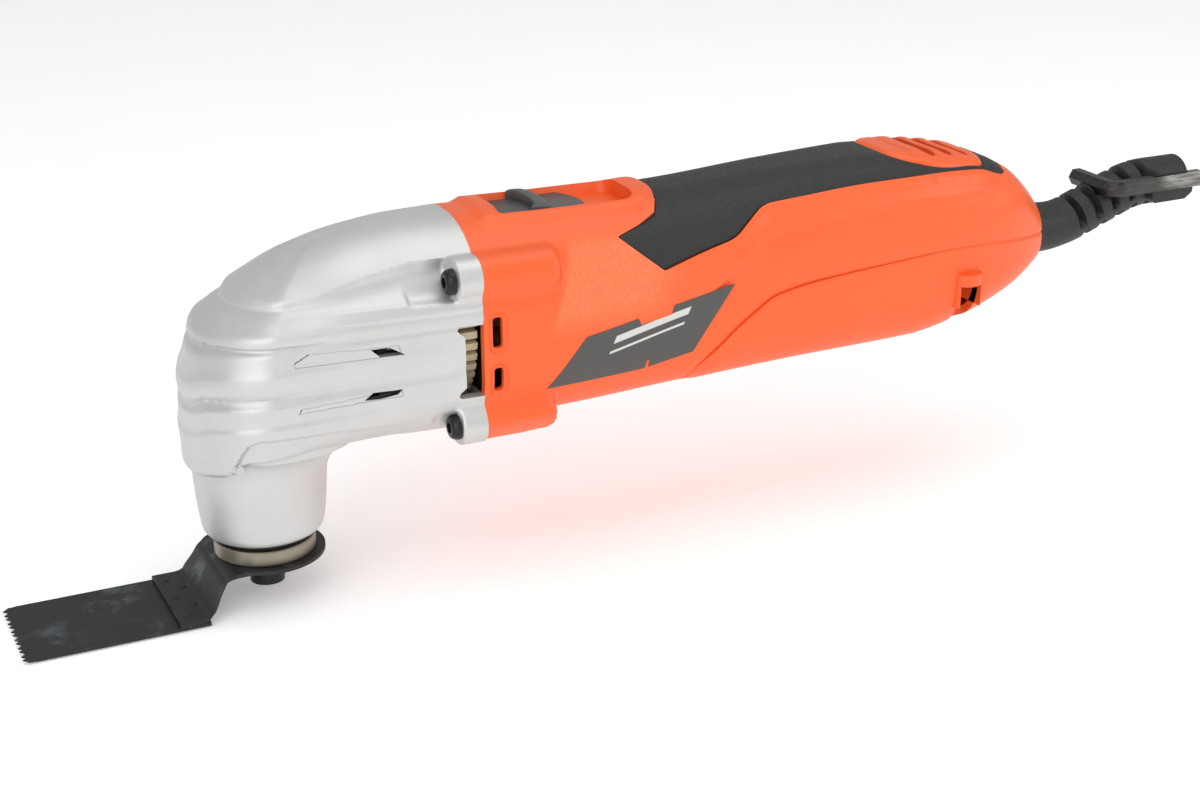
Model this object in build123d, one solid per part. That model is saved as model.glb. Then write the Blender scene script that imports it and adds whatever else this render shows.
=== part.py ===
"""Corded oscillating multi tool with a wood-cutting blade, as an assembly of separate pieces.

Millimetres. The origin is where the spindle axis meets the accessory seat, the flat underside of
the spindle flange. +X runs along the motor to the tail, +Z is up the spindle, -Y is the right side.
"""
from build123d import *
import os
from math import cos, hypot, pi, radians, sin, tan

os.makedirs("parts", exist_ok=True)

# ---------------------------------------------------------------- driving dimensions
motor_z = 62.0            # height of the motor axis above the accessory seat
joint_x = 58.0            # joint plane between gear head and motor housing
tail_x = 258.0            # rearmost point of the housing
joint_half_width = 28.6   # half width of both castings at the joint plane
handle_half_width = 24.5  # half width of the handle
joint_top_z = 92.9
joint_bottom_z = 32.5
handle_top_z = 95.6       # highest point, above the hand
handle_bottom_z = 37.3
head_wall = 2.6
housing_wall = 2.4
grip_thickness = 1.6

# clearances
slide_gap = 0.3           # between a moving piece and what it passes
running_gap = 0.05        # radial, a shaft in its hole
seat_gap = 0.15           # radial, a bearing or a core in its pocket
ball_gap = 0.12           # radial, a ball between its races

# accessory interface and spindle
flange_r = 14.5
flange_h = 4.5
spindle_r = 6.0           # at the lower bearing
spindle_shoulder_r = 7.2
spindle_hub_r = 5.5       # where the fork is pressed on
spindle_tip_r = 3.0       # at the upper bearing
drive_pin_r = 1.2
drive_pin_circle_r = 10.0
drive_pin_count = 8
drive_pin_length = 1.0
clamp_thread_r = 3.0
clamp_thread_depth = 15.0
clamp_head_r = 5.0
clamp_head_h = 6.0
clamp_socket_af = 5.0     # across the flats of the socket and of its key
clamp_washer_r = 9.0
clamp_washer_h = 3.0

# bearings: bore radius, outside radius, width
lower_bearing = (spindle_r, 14.0, 8.0)
upper_bearing = (spindle_tip_r, 9.5, 6.0)
front_bearing = (4.0, 11.0, 7.0)
rear_bearing = (3.5, 9.5, 6.0)
eccentric_bearing = (3.0, 6.5, 5.0)
lower_bearing_z = 9.2
upper_bearing_z = 62.0
front_bearing_x = 29.5
rear_bearing_x = 131.5
eccentric_x = 21.5        # middle of the eccentric bearing, measured from the spindle axis
eccentric_throw = 0.6
ring_t = 1.2              # thickness of both retaining rings
seal_gap = 0.3            # the felt seal stays this far from flange and ring

# fork, pressed on the spindle
fork_z = (47.5, 60.0)
fork_hub_r = 10.5
fork_arm_z = (54.0, 68.0)
fork_inner_y = eccentric_bearing[1] + 2 * eccentric_throw + slide_gap
fork_arm_t = 3.2
fork_end_x = eccentric_x + 4.5

# gear head
neck_bottom_z = 6.5
neck_wall = 3.5           # round the lower bearing
neck_r = lower_bearing[1] + neck_wall
neck_top_r = 20.9
underside_z = 33.0
nose_length = 20.6        # spindle axis to the front of the nose
nose_half_width = 25.7
head_boss_x = 50.5        # front face of the four screw bosses
boss_r = 6.2
boss_upper = (joint_half_width - 5.1, 79.5)
boss_lower = (joint_half_width - 4.6, 37.5)
boss_upper_end_x = 82.0
boss_lower_end_x = 80.0
head_screw_r = 2.0
head_screw_head_r = 4.0
head_screw_head_h = 3.2
head_screw_length = 26.0
fan_window_x = 50.5
fan_window_z = (46.5, 67.0)
head_vent_x = (28.5, 39.5)
head_vent_z = (47.6, 60.0)
head_vent_h = 4.0

# motor
shaft_r = 5.0
core_r = 13.5
core_x = (70.0, 106.0)
core_slots = 12
slot_width = 2.2
slot_depth = 5.2
end_turn_r = 12.0
end_turn_length = 6.0
commutator_r = 9.0
commutator_x = (117.5, 128.5)
commutator_bars = 24
stator_r = 23.0
stator_bore_gap = 0.6
stator_x = (69.0, 107.0)
coil_thickness = 4.0
coil_end_length = 5.5
fan_r = 25.0
fan_x = (46.0, 57.6)
fan_disc_h = 1.6
fan_gap = 0.7             # between the blade tips and the head
fan_hub_r = 9.0
fan_blades = 24
fan_blade_thickness = 1.7
baffle_x = 60.2
baffle_thickness = 1.4
bridge_x = 28.5           # front face of the bearing bridge
bridge_thickness = 3.0
bridge_screw_y = 18.5
brush_x = 123.0
brush_size = (6.0, 8.0)   # along the motor, and across
brush_length = 9.5
brush_box_wall = 0.8
brush_box_end_y = 21.0
carrier_x = (131.5, 138.5)
carrier_screw_z = 20.6    # above and below the motor axis
carrier_screw_r = 1.6
carrier_screw_head_r = 2.4

side_slot_x = (joint_x + 2.9, joint_x + 6.2)   # two air slots each side, behind the joint
side_slot_z = ((59.6, 68.6), (46.2, 53.6))

# switch
recess_x = (70.5, 112.0)
recess_half_width = 10.4
recess_floor_z = 88.9
recess_floor_thickness = 1.3
rim_height = 0.9          # the switch surround stands this far over the housing
slider_x = (71.6, 100.4)
slider_plate_h = 1.6
slider_travel = 8.0
rib_x = (81.0, 91.5)
rib_h = 3.0
stem_x = (86.0, 92.0)
stem_half_width = 3.0
link_half_width = 4.0
link_z = (85.4, 86.9)
link_end_x = 168.0
switch_x = (158.0, 184.0)
switch_half_width = 8.5
switch_z = (62.0, 83.0)
knob_x = (163.0, 167.0)

# tail
vent_x = (tail_x - 59.0, tail_x - 27.0)
vent_half_width = 17.0
vent_slot_width = 3.4
vent_slot_pitch = 7.0
vent_slots = 3
cover_screw_spots = ((150.0, 15.0), (tail_x - 36.0, 17.5))
cover_screw_r = 1.5
cover_screw_head_r = 3.0
cover_pocket_r = 3.7
cover_screw_seat_z = 56.0
cover_screw_length = 14.0
boot_r = 8.4              # where it leaves the tail
boot_end_r = 7.7
boot_collar_r = 10.5
boot_collar_x = (tail_x - 11.0, tail_x - 7.5)
boot_axis_z = 60.5
boot_bend_x = tail_x + 15.0
boot_bend_r = 24.0
boot_grooves = 4
boot_groove_start = 30.5  # along the boot from its collar
boot_groove_pitch = 7.2
boot_groove_width = 2.2
boot_groove_depth = 2.3
clip_x = (tail_x + 44.0, tail_x + 62.5)   # moulded clip at the end of the boot
clip_axis_z = 71.0
clip_z = (clip_axis_z - 5.0, clip_axis_z + 6.0)
clip_far_y = 6.5
cord_r = 3.0              # bore for the mains lead
key_af = clamp_socket_af
key_bend_x = tail_x + 29.0
key_end_x = tail_x + 64.6
key_y = -boot_end_r - 2.3
key_z = clip_axis_z + 1.9
key_short_arm = 19.5
key_bend_r = 4.0
badge_thickness = 0.3
cap_x = (196.0, 214.0)    # suppression capacitor, below the terminals
cap_half_width = 7.0
cap_z = (48.0, 63.0)
cap_corner_r = 1.5
terminal_x = (196.0, 210.0)
terminal_half_width = 9.0
terminal_z = (68.0, 77.0)
terminal_way_y = 4.5
terminal_wire_r = 1.6
terminal_wire_z = 71.5
terminal_screw_r = 1.5
cord_clamp_x = (tail_x - 26.0, tail_x - 18.0)
cord_clamp_half_width = 14.0
cord_clamp_h = 4.0
cord_clamp_squeeze = 0.4
cord_clamp_screw_y = 10.5
cord_clamp_screw_r = 1.5

# blade
plate_r = 17.1
plate_t = 1.2
crank_top_x = -14.2
crank_bottom_x = -20.7
crank_drop = 10.8
crank_half_width = 15.0
weld_plate_end_x = -29.9
blade_half_width = 17.0
blade_t = 0.9
blade_end_x = -72.7
blade_teeth = 13
tooth_depth = 1.6


# ---------------------------------------------------------------- shared shapes
def rod_x(r, x0, x1, y=0.0, z=motor_z):
    """A round bar along X."""
    return Pos((x0 + x1) / 2, y, z) * Rot(0, 90, 0) * Cylinder(r, x1 - x0)


def rod_z(r, z0, z1, x=0.0, y=0.0):
    """A round bar along Z."""
    return Pos(x, y, (z0 + z1) / 2) * Cylinder(r, z1 - z0)


def block(x0, x1, y0, y1, z0, z1):
    """A box between two corners."""
    middle = Pos((x0 + x1) / 2, (y0 + y1) / 2, (z0 + z1) / 2)
    return middle * Box(abs(x1 - x0), abs(y1 - y0), abs(z1 - z0))


def turned_z(points):
    """A piece turned about the spindle axis, from (radius, height) points."""
    face = make_face(Polyline(*[(r, 0, z) for r, z in points], close=True))
    return revolve(face, Axis.Z)


def turned_x(points, y=0.0, z=motor_z):
    """A piece turned about an axis along X, from (station, radius) points."""
    face = make_face(Polyline(*[(x, y, z + r) for x, r in points], close=True))
    return revolve(face, Axis((0, y, z), (1, 0, 0)))


def prism_y(points, half_width):
    """A side outline of (x, z) points, run from -half_width to half_width."""
    face = make_face(Polyline(*[(x, 0, z) for x, z in points], close=True))
    return extrude(face, amount=half_width, dir=(0, 1, 0), both=True)


def hex_prism_z(across_flats, z0, z1):
    """A hexagonal bar about the spindle axis."""
    sketch = Pos(0, 0, z0) * RegularPolygon(across_flats / 2, 6, major_radius=False)
    return extrude(sketch, amount=z1 - z0)


def bearing(size, along):
    """Outer race, inner race and balls of a ball bearing whose first face is at 0 on its axis."""
    bore_r, outer_r, width = size
    race_t = (outer_r - bore_r) * 0.27
    pitch_r = (outer_r + bore_r) / 2
    ball_r = (outer_r - bore_r) / 2 - race_t - ball_gap
    count = int(2 * pi * pitch_r / (2.5 * ball_r))
    middle = Pos(0, 0, width / 2)
    outer = middle * (Cylinder(outer_r, width) - Cylinder(outer_r - race_t, width))
    inner = middle * (Cylinder(bore_r + race_t, width) - Cylinder(bore_r, width))
    balls = [middle * Rot(0, 0, 360 * i / count) * Pos(pitch_r, 0, 0) * Rot(0, 90, 0) * Sphere(ball_r)
             for i in range(count)]
    turn = Rot(0, 90, 0) if along == "x" else Rot(0, 0, 0)
    return turn * outer, turn * inner, Compound(children=[turn * ball for ball in balls])


def save(name, shape):
    export_step(shape, f"parts/{name}.step")


# ---------------------------------------------------------------- outer forms
def housing_section(x, top, bottom, half, top_r, bottom_r):
    """Closed outline of the housing at one station, with round shoulders and a round belly."""
    corners = (
        (half, bottom, -1, 1, bottom_r),
        (half, top, -1, -1, top_r),
        (-half, top, 1, -1, top_r),
        (-half, bottom, 1, 1, bottom_r),
    )
    edges = []
    ends = []
    for index, (y, z, sy, sz, r) in enumerate(corners):
        centre_y, centre_z = y + sy * r, z + sz * r
        beside = (x, y, centre_z)
        over = (x, centre_y, z)
        middle = (x, centre_y - sy * r * cos(pi / 4), centre_z - sz * r * sin(pi / 4))
        first, last = (over, beside) if index % 2 == 0 else (beside, over)
        ends.append((first, middle, last))
    for index, (first, middle, last) in enumerate(ends):
        edges.append(Edge.make_three_point_arc(first, middle, last))
        edges.append(Edge.make_line(last, ends[(index + 1) % 4][0]))
    return Wire(edges)


housing_stations = (
    # x, top, bottom, half width, shoulder radius, belly radius
    (joint_x, joint_top_z, joint_bottom_z, joint_half_width, 26.0, 19.0),
    (92.0, 92.6, 33.6, joint_half_width - 1.0, 24.5, 17.0),
    (122.0, 92.2, 35.0, handle_half_width + 1.0, 22.5, 14.0),
    (165.0, 94.2, 36.8, handle_half_width, 21.0, 12.0),
    (tail_x - 54.0, handle_top_z, handle_bottom_z, handle_half_width, 20.0, 12.0),
    (tail_x - 34.0, 93.6, 40.2, handle_half_width - 0.9, 18.0, 12.0),
    (tail_x - 20.0, 89.6, 43.8, handle_half_width - 3.7, 16.0, 11.0),
    (tail_x - 9.0, 82.6, 47.2, 16.4, 13.0, 10.0),
    (tail_x - 2.5, 74.4, 50.0, 11.4, 9.5, 8.5),
    (tail_x, 69.4, 51.6, 9.2, 7.6, 7.4),
)


def housing_form(inset, start_x=joint_x, end_inset=0.0):
    """Solid form of the whole motor housing, shrunk all round by inset."""
    wires = []
    for x, top, bottom, half, top_r, bottom_r in housing_stations:
        x = start_x if x == joint_x else x
        x = x - end_inset if x == tail_x else x
        wires.append(housing_section(x, top - inset, bottom + inset, half - inset,
                                     top_r - inset, bottom_r - inset))
    return Solid.make_loft(wires, ruled=True)


head_levels = (
    # height, front of the nose, half width at the nose, half width at the joint
    (underside_z, -nose_length, nose_half_width, joint_half_width - 2.1),
    (42.0, -nose_length, nose_half_width, joint_half_width),
    (54.0, -nose_length + 0.2, nose_half_width, joint_half_width),
    (63.0, -18.0, 25.0, joint_half_width),
    (70.0, -14.4, 23.0, joint_half_width - 1.0),
    (76.0, -8.0, 20.0, joint_half_width - 3.4),
    (81.5, 0.0, 16.5, joint_half_width - 6.8),
    (86.0, 9.0, 12.6, joint_half_width - 11.0),
    (89.6, 21.0, 8.6, joint_half_width - 16.0),
    (joint_top_z - 0.9, 34.0, 5.0, joint_half_width - 20.6),
)


def head_level(z, front, nose_half, joint_half, inset, end_x):
    """Closed outline of the gear head at one height: a half ellipse and two straight sides."""
    nose_half = nose_half - inset
    joint_half = joint_half - inset
    front = front + inset
    depth = min(nose_half, (end_x - front) * 0.5)
    centre_x = front + depth
    nose = EllipticalCenterArc((centre_x, 0), depth, nose_half, start_angle=90, arc_size=180)
    near = Line((centre_x, -nose_half), (end_x, -joint_half))
    back = Line((end_x, -joint_half), (end_x, joint_half))
    far = Line((end_x, joint_half), (centre_x, nose_half))
    return Pos(0, 0, z) * Wire([nose, near, back, far])


def head_form(inset, end_x=joint_x):
    """Solid form of the gear head above its underside, shrunk all round by inset."""
    wires = [head_level(z if z == underside_z else z - inset, front, nose, half, inset, end_x)
             for z, front, nose, half in head_levels]
    if inset:
        wires[0] = wires[0].moved(Location((0, 0, inset)))
    return Solid.make_loft(wires, ruled=True)


def joint_slice(inset, x0, x1):
    """Slab with the outline of the joint plane, used to trim what crosses it."""
    top, bottom, half, top_r, bottom_r = housing_stations[0][1:]
    wire = housing_section(x0, top - inset, bottom + inset, half - inset, top_r - inset,
                           bottom_r - inset)
    return extrude(make_face(wire), amount=x1 - x0, dir=(1, 0, 0))


def boss_places():
    """Centres of the four corner bosses and the end of each behind the joint plane."""
    places = []
    for side in (1, -1):
        places.append((side * boss_upper[0], boss_upper[1], boss_upper_end_x))
        places.append((side * boss_lower[0], boss_lower[1], boss_lower_end_x))
    return places


# ---------------------------------------------------------------- gear head
def gear_head():
    """Die-cast aluminium head: bearing neck, fork chamber and fan chamber."""
    neck = turned_z((
        (0, neck_bottom_z), (neck_r - 2.6, neck_bottom_z), (neck_r - 0.7, neck_bottom_z + 0.8),
        (neck_r, neck_bottom_z + 2.8), (18.4, 16.0), (18.9, 23.0), (20.3, 26.0),
        (neck_top_r, underside_z), (neck_top_r, underside_z + 4), (0, underside_z + 4),
    ))
    body = head_form(0) & joint_slice(0, -40, joint_x)
    saddle = prism_y(((12, 20), (19, 27), (24, 31), (31, underside_z), (31, 38), (12, 38)), 15.5)
    body = body + neck + saddle
    for y, z, _end in boss_places():
        body = body + rod_x(boss_r, head_boss_x, joint_x, y, z)
    body = body - (head_form(head_wall, joint_x + 1) & joint_slice(head_wall, -40, joint_x + 1))
    body = body - rod_z(12.4, lower_bearing_z + lower_bearing[2], underside_z + 6)
    top_boss_r = upper_bearing[1] + 2.4
    body = body + (rod_z(top_boss_r, upper_bearing_z - 0.4, 82) & head_form(0))
    body = body - rod_z(upper_bearing[1] + seat_gap, 50, upper_bearing_z + upper_bearing[2])
    body = body - rod_z(lower_bearing[1] + seat_gap, 0, lower_bearing_z + lower_bearing[2])
    body = body - rod_z(lower_bearing[1] + 1.0, lower_bearing_z - ring_t, lower_bearing_z)
    for y, z, _end in boss_places():
        body = body - rod_x(head_screw_r + 0.2, 40, joint_x + 1, y, z)
        body = body - rod_x(head_screw_head_r + 1.2, 43.0, head_boss_x, y, z)
    body = body - rod_x(fan_r + fan_gap, fan_x[0] - 2, joint_x + 1)
    for side in (1, -1):
        y0, y1 = sorted((side * (joint_half_width - 10.6), side * (joint_half_width + 5.4)))
        low, high = fan_window_z
        body = body - block(fan_window_x, joint_x + 1, y0, y1, low, high)
        for z in head_vent_z:
            body = body - block(head_vent_x[0], head_vent_x[1], y0, y1, z - head_vent_h / 2,
                                z + head_vent_h / 2)
    return body


def bearing_bridge():
    """Cast plate across the head that carries the front motor bearing."""
    form = head_form(head_wall + seat_gap) & joint_slice(head_wall + seat_gap, -40, joint_x)
    plate = form & block(bridge_x, bridge_x + bridge_thickness, -40, 40, 0, 120)
    seat_r = front_bearing[1]
    hub = rod_x(seat_r + 2.4, bridge_x, front_bearing_x + front_bearing[2])
    plate = plate + hub
    plate = plate - rod_x(seat_r, front_bearing_x, front_bearing_x + 20)
    plate = plate - rod_x(front_bearing[0] + 2.6, bridge_x - 1, front_bearing_x + 20)
    for side in (1, -1):
        plate = plate - rod_x(head_screw_r, bridge_x - 1, bridge_x + 9, side * bridge_screw_y)
    return plate


def bridge_screws():
    """Two screws through the bridge, with their pan heads behind it."""
    back = bridge_x + bridge_thickness
    screws = []
    for side in (1, -1):
        y = side * bridge_screw_y
        screws.append(rod_x(head_screw_r, bridge_x - 6, back, y)
                      + rod_x(head_screw_head_r, back, back + 2.4, y))
    return Compound(children=screws)


def head_screws():
    """Four screws that hold the gear head to the housing, with hexagon sockets."""
    screws = []
    for y, z, _end in boss_places():
        head = rod_x(head_screw_head_r, head_boss_x - head_screw_head_h, head_boss_x, y, z)
        socket = extrude(RegularPolygon(1.7, 6, major_radius=False), amount=2.0)
        socket = Pos(head_boss_x - head_screw_head_h - 0.01, y, z) * Rot(0, 90, 0) * socket
        shank = rod_x(head_screw_r, head_boss_x, head_boss_x + head_screw_length, y, z)
        screws.append(head - socket + shank)
    return Compound(children=screws)


# ---------------------------------------------------------------- spindle group
def spindle():
    """Hardened spindle with the accessory flange, drive pins and a threaded hole."""
    top_z = upper_bearing_z + upper_bearing[2]
    groove_z = lower_bearing_z + lower_bearing[2]
    shaft = turned_z((
        (0, 0), (flange_r - 0.4, 0), (flange_r, 0.4), (flange_r, flange_h - 0.3),
        (flange_r - 0.3, flange_h), (spindle_shoulder_r, flange_h),
        (spindle_shoulder_r, lower_bearing_z), (spindle_r, lower_bearing_z),
        (spindle_r, groove_z), (spindle_r - 0.5, groove_z), (spindle_r - 0.5, groove_z + ring_t),
        (spindle_r, groove_z + ring_t), (spindle_r, fork_z[0]), (spindle_hub_r, fork_z[0]),
        (spindle_hub_r, fork_z[1]), (spindle_tip_r, fork_z[1]), (spindle_tip_r, top_z), (0, top_z),
    ))
    shaft = shaft - rod_z(clamp_thread_r + running_gap, -1, clamp_thread_depth)
    for index in range(drive_pin_count):
        angle = 2 * pi * (index + 0.5) / drive_pin_count
        x, y = drive_pin_circle_r * cos(angle), drive_pin_circle_r * sin(angle)
        shaft = shaft + rod_z(drive_pin_r, -drive_pin_length, 0.5, x, y)
    return shaft


def oscillating_fork():
    """Steel fork pressed on the spindle; its arms straddle the eccentric bearing."""
    hub = rod_z(fork_hub_r, fork_z[0], fork_z[1]) - rod_z(spindle_hub_r, fork_z[0] - 1, fork_z[1] + 1)
    clear_r = upper_bearing[1] + 2.4 + 1.0
    fork = hub
    for side in (1, -1):
        y0, y1 = sorted((side * fork_inner_y, side * (fork_inner_y + fork_arm_t)))
        low = block(2, fork_end_x, y0, y1, fork_arm_z[0], fork_z[1])
        tall = block(2, fork_end_x, y0, y1, fork_arm_z[0], fork_arm_z[1]) - rod_z(clear_r, 50, 90)
        fork = fork + (low - rod_z(spindle_hub_r + 2, 40, 70)) + tall
    return fork


def retaining_ring(bore_r, outer_r, z0, thickness, gap_deg):
    """Spring ring with a gap, lying flat about the spindle axis."""
    ring = rod_z(outer_r, z0, z0 + thickness) - rod_z(bore_r, z0 - 1, z0 + thickness + 1)
    reach = outer_r + 2
    half = reach * tan(radians(gap_deg / 2))
    wedge = Polyline((0, 0), (reach, -half), (reach, half), close=True)
    return ring - Pos(0, 0, z0 - 1) * extrude(make_face(wedge), amount=thickness + 2)


def dust_seal():
    """Felt ring in the mouth of the neck, just above the flange."""
    ring = rod_z(lower_bearing[1] - 0.8, flange_h + seal_gap, lower_bearing_z - ring_t - seal_gap)
    return ring - rod_z(spindle_shoulder_r + slide_gap, 0, lower_bearing_z)


def clamp_screw():
    """Socket head screw that clamps the accessory to the flange."""
    under_head = -plate_t - clamp_washer_h
    head = rod_z(clamp_head_r, under_head - clamp_head_h, under_head)
    head = head - hex_prism_z(clamp_socket_af, under_head - clamp_head_h - 1, under_head - 3.0)
    return head + rod_z(clamp_thread_r, under_head, clamp_thread_depth - 2.0)


def clamp_washer():
    """Thick washer under the clamp screw."""
    top = -plate_t
    ring = rod_z(clamp_washer_r, top - clamp_washer_h, top)
    return ring - rod_z(clamp_thread_r + slide_gap, top - clamp_washer_h - 1, top + 1)


# ---------------------------------------------------------------- accessory
def accessory_holder():
    """Pressed steel holder: round clamping end, cranked strip and a flat welding end."""
    low_top = -crank_drop
    run = crank_bottom_x - crank_top_x
    lean = hypot(run, crank_drop)
    top = rod_z(plate_r, -plate_t, 0)
    neck = block(crank_top_x, 0, -crank_half_width, crank_half_width, -plate_t, 0)
    offset = -plate_t * (lean + run) / crank_drop
    crank = prism_y((
        (crank_top_x, 0), (crank_bottom_x, low_top), (weld_plate_end_x, low_top),
        (weld_plate_end_x, low_top - plate_t), (crank_bottom_x - offset, low_top - plate_t),
        (crank_top_x - offset, -plate_t), (crank_top_x + 2, -plate_t), (crank_top_x + 2, 0),
    ), blade_half_width)
    narrow = block(crank_bottom_x + 1.0, 5, -crank_half_width, crank_half_width, -20, 5)
    wide = block(-40, crank_bottom_x + 1.0, -blade_half_width, blade_half_width, -20, 5)
    holder = (top - block(-40, crank_top_x, -40, 40, -5, 5)) + neck + (crank & (narrow + wide))
    for index in range(drive_pin_count):
        angle = 2 * pi * (index + 0.5) / drive_pin_count
        x, y = drive_pin_circle_r * cos(angle), drive_pin_circle_r * sin(angle)
        holder = holder - rod_z(drive_pin_r + 0.1, -5, 5, x, y)
    return holder - rod_z(clamp_thread_r + slide_gap, -5, 5)


def saw_blade():
    """Thin blackened saw blade, spot welded under the holder, with a row of coarse teeth."""
    top = -crank_drop - plate_t
    pitch = 2 * blade_half_width / blade_teeth
    root_x = blade_end_x + tooth_depth
    points = [(crank_bottom_x - 0.5, -blade_half_width), (root_x, -blade_half_width)]
    for index in range(blade_teeth):
        y = -blade_half_width + index * pitch
        points.append((blade_end_x, y + pitch * 0.4))
        points.append((root_x, y + pitch))
    points.append((crank_bottom_x - 0.5, blade_half_width))
    outline = make_face(Polyline(*points, close=True))
    return Pos(0, 0, top - blade_t) * extrude(outline, amount=blade_t)


# ---------------------------------------------------------------- motor
def armature_shaft():
    """Motor shaft with the eccentric pin on its front end."""
    pin = rod_x(eccentric_bearing[0], eccentric_x - 3.2, bridge_x - 2.6, 0,
                motor_z + eccentric_throw)
    rear_end = rear_bearing_x + rear_bearing[2]
    shaft = turned_x((
        (bridge_x - 2.6, 0), (bridge_x - 2.6, front_bearing[0]),
        (front_bearing_x + front_bearing[2], front_bearing[0]),
        (front_bearing_x + front_bearing[2], shaft_r), (rear_bearing_x, shaft_r),
        (rear_bearing_x, rear_bearing[0]), (rear_end, rear_bearing[0]), (rear_end, 0),
    ))
    return shaft + pin


def around_motor(shape, count):
    """Copies of a shape spaced evenly about the motor axis."""
    axis = Axis((0, 0, motor_z), (1, 0, 0))
    return [shape.rotate(axis, 360 * index / count) for index in range(count)]


def armature_core():
    """Slotted lamination stack on the shaft."""
    core = rod_x(core_r, *core_x) - rod_x(shaft_r, core_x[0] - 1, core_x[1] + 1)
    slot = block(core_x[0] - 1, core_x[1] + 1, -slot_width / 2, slot_width / 2,
                 motor_z + core_r - slot_depth, motor_z + core_r + 1)
    return core - around_motor(slot, core_slots)


def armature_windings():
    """Copper in the slots and the round bundles of end turns."""
    inner_r = shaft_r + 0.4
    ends = []
    for x0, x1 in ((core_x[0] - end_turn_length, core_x[0]), (core_x[1], core_x[1] + end_turn_length)):
        ring = rod_x(end_turn_r, x0, x1) - rod_x(inner_r, x0 - 1, x1 + 1)
        ends.append(ring)
    bar = block(core_x[0], core_x[1], -slot_width / 2 + 0.15, slot_width / 2 - 0.15,
                motor_z + core_r - slot_depth + 0.15, motor_z + core_r - 1.6)
    return ends[0] + ends[1] + around_motor(bar, core_slots)


def commutator():
    """Copper commutator with a groove between its bars."""
    drum = rod_x(commutator_r, *commutator_x)
    drum = drum - rod_x(shaft_r, commutator_x[0] - 1, commutator_x[1] + 1)
    groove = block(commutator_x[0] - 1, commutator_x[1] + 1, -0.3, 0.3,
                   motor_z + commutator_r - 0.8, motor_z + commutator_r + 1)
    return drum - around_motor(groove, commutator_bars)


def fan():
    """Moulded centrifugal fan: hub, back disc and leaning blades."""
    disc = rod_x(fan_r, fan_x[1] - fan_disc_h, fan_x[1])
    hub = rod_x(fan_hub_r, fan_x[0] + 2, fan_x[1])
    blade = block(fan_x[0], fan_x[1], -fan_blade_thickness / 2, fan_blade_thickness / 2,
                  motor_z + fan_hub_r + 3, motor_z + fan_r - 0.1)
    blade = blade.rotate(Axis((0, 0, motor_z + fan_r), (1, 0, 0)), 24)
    blade = blade & rod_x(fan_r, *fan_x)
    wheel = disc + hub + around_motor(blade, fan_blades)
    return wheel - rod_x(shaft_r, fan_x[0] - 1, fan_x[1] + 1)


def fan_baffle():
    """Plastic ring behind the fan that keeps its air out of the motor."""
    plate = joint_slice(housing_wall + seat_gap, baffle_x, baffle_x + baffle_thickness)
    plate = plate - rod_x(15.0, baffle_x - 1, baffle_x + baffle_thickness + 1)
    for y, z, _end in boss_places():
        plate = plate - rod_x(boss_r + seat_gap, baffle_x - 1, baffle_x + 4, y, z)
    return plate


def stator_core():
    """Stator laminations with a window each side for the field coils."""
    bore_r = core_r + stator_bore_gap
    core = rod_x(stator_r, *stator_x) - rod_x(bore_r, stator_x[0] - 1, stator_x[1] + 1)
    for side in (1, -1):
        y0, y1 = sorted((side * (bore_r - 1), side * (bore_r + 0.6 + coil_thickness)))
        core = core - block(stator_x[0] - 1, stator_x[1] + 1, y0, y1, motor_z - 9, motor_z + 9)
        core = core - rod_x(carrier_screw_r + running_gap, stator_x[0] - 1, stator_x[1] + 1, 0,
                            motor_z + side * carrier_screw_z)
    return core


def field_coils():
    """Two copper coils, one about each pole, joined round both ends of the stator."""
    inner_r = core_r + stator_bore_gap + 0.4
    outer_r = inner_r + coil_thickness
    coils = []
    for up in (1, -1):
        z0, z1 = sorted((motor_z + up * 0.4, motor_z + up * (outer_r + 1)))
        half_space = block(0, 200, -40, 40, z0, z1)
        coil = None
        for x0, x1 in ((stator_x[0] - coil_end_length, stator_x[0]),
                       (stator_x[1], stator_x[1] + coil_end_length)):
            ring = rod_x(outer_r, x0, x1) - rod_x(inner_r, x0 - 1, x1 + 1)
            end = ring & half_space
            coil = end if coil is None else coil + end
        for side in (1, -1):
            y0, y1 = sorted((side * inner_r, side * (outer_r - 0.3)))
            z2, z3 = sorted((motor_z + up * 0.4, motor_z + up * 8.0))
            leg = block(stator_x[0] - 1, stator_x[1] + 1, y0, y1, z2, z3)
            coil = coil + (leg & rod_x(outer_r, 0, 200))
        coils.append(coil)
    return Compound(children=coils)


def brush_boxes(wall, start):
    """Box shapes round the two brushes, used for the holders and for their pockets."""
    half_x = brush_size[0] / 2 + wall
    half_z = brush_size[1] / 2 + wall
    boxes = []
    for side in (1, -1):
        y0, y1 = sorted((side * start, side * brush_box_end_y))
        boxes.append(block(brush_x - half_x, brush_x + half_x, y0, y1,
                           motor_z - half_z, motor_z + half_z))
    return boxes


def brush_holders():
    """Two brass boxes that guide the brushes."""
    start = commutator_r + 1.6
    holders = [outer - inner for outer, inner in
               zip(brush_boxes(brush_box_wall + 0.1, start), brush_boxes(0.1, start))]
    return Compound(children=holders)


def brushes():
    """Two carbon brushes standing on the commutator."""
    start = commutator_r + 0.1
    pair = []
    for side in (1, -1):
        y0, y1 = sorted((side * start, side * (start + brush_length)))
        pair.append(block(brush_x - brush_size[0] / 2, brush_x + brush_size[0] / 2, y0, y1,
                          motor_z - brush_size[1] / 2, motor_z + brush_size[1] / 2))
    return Compound(children=pair)


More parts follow.
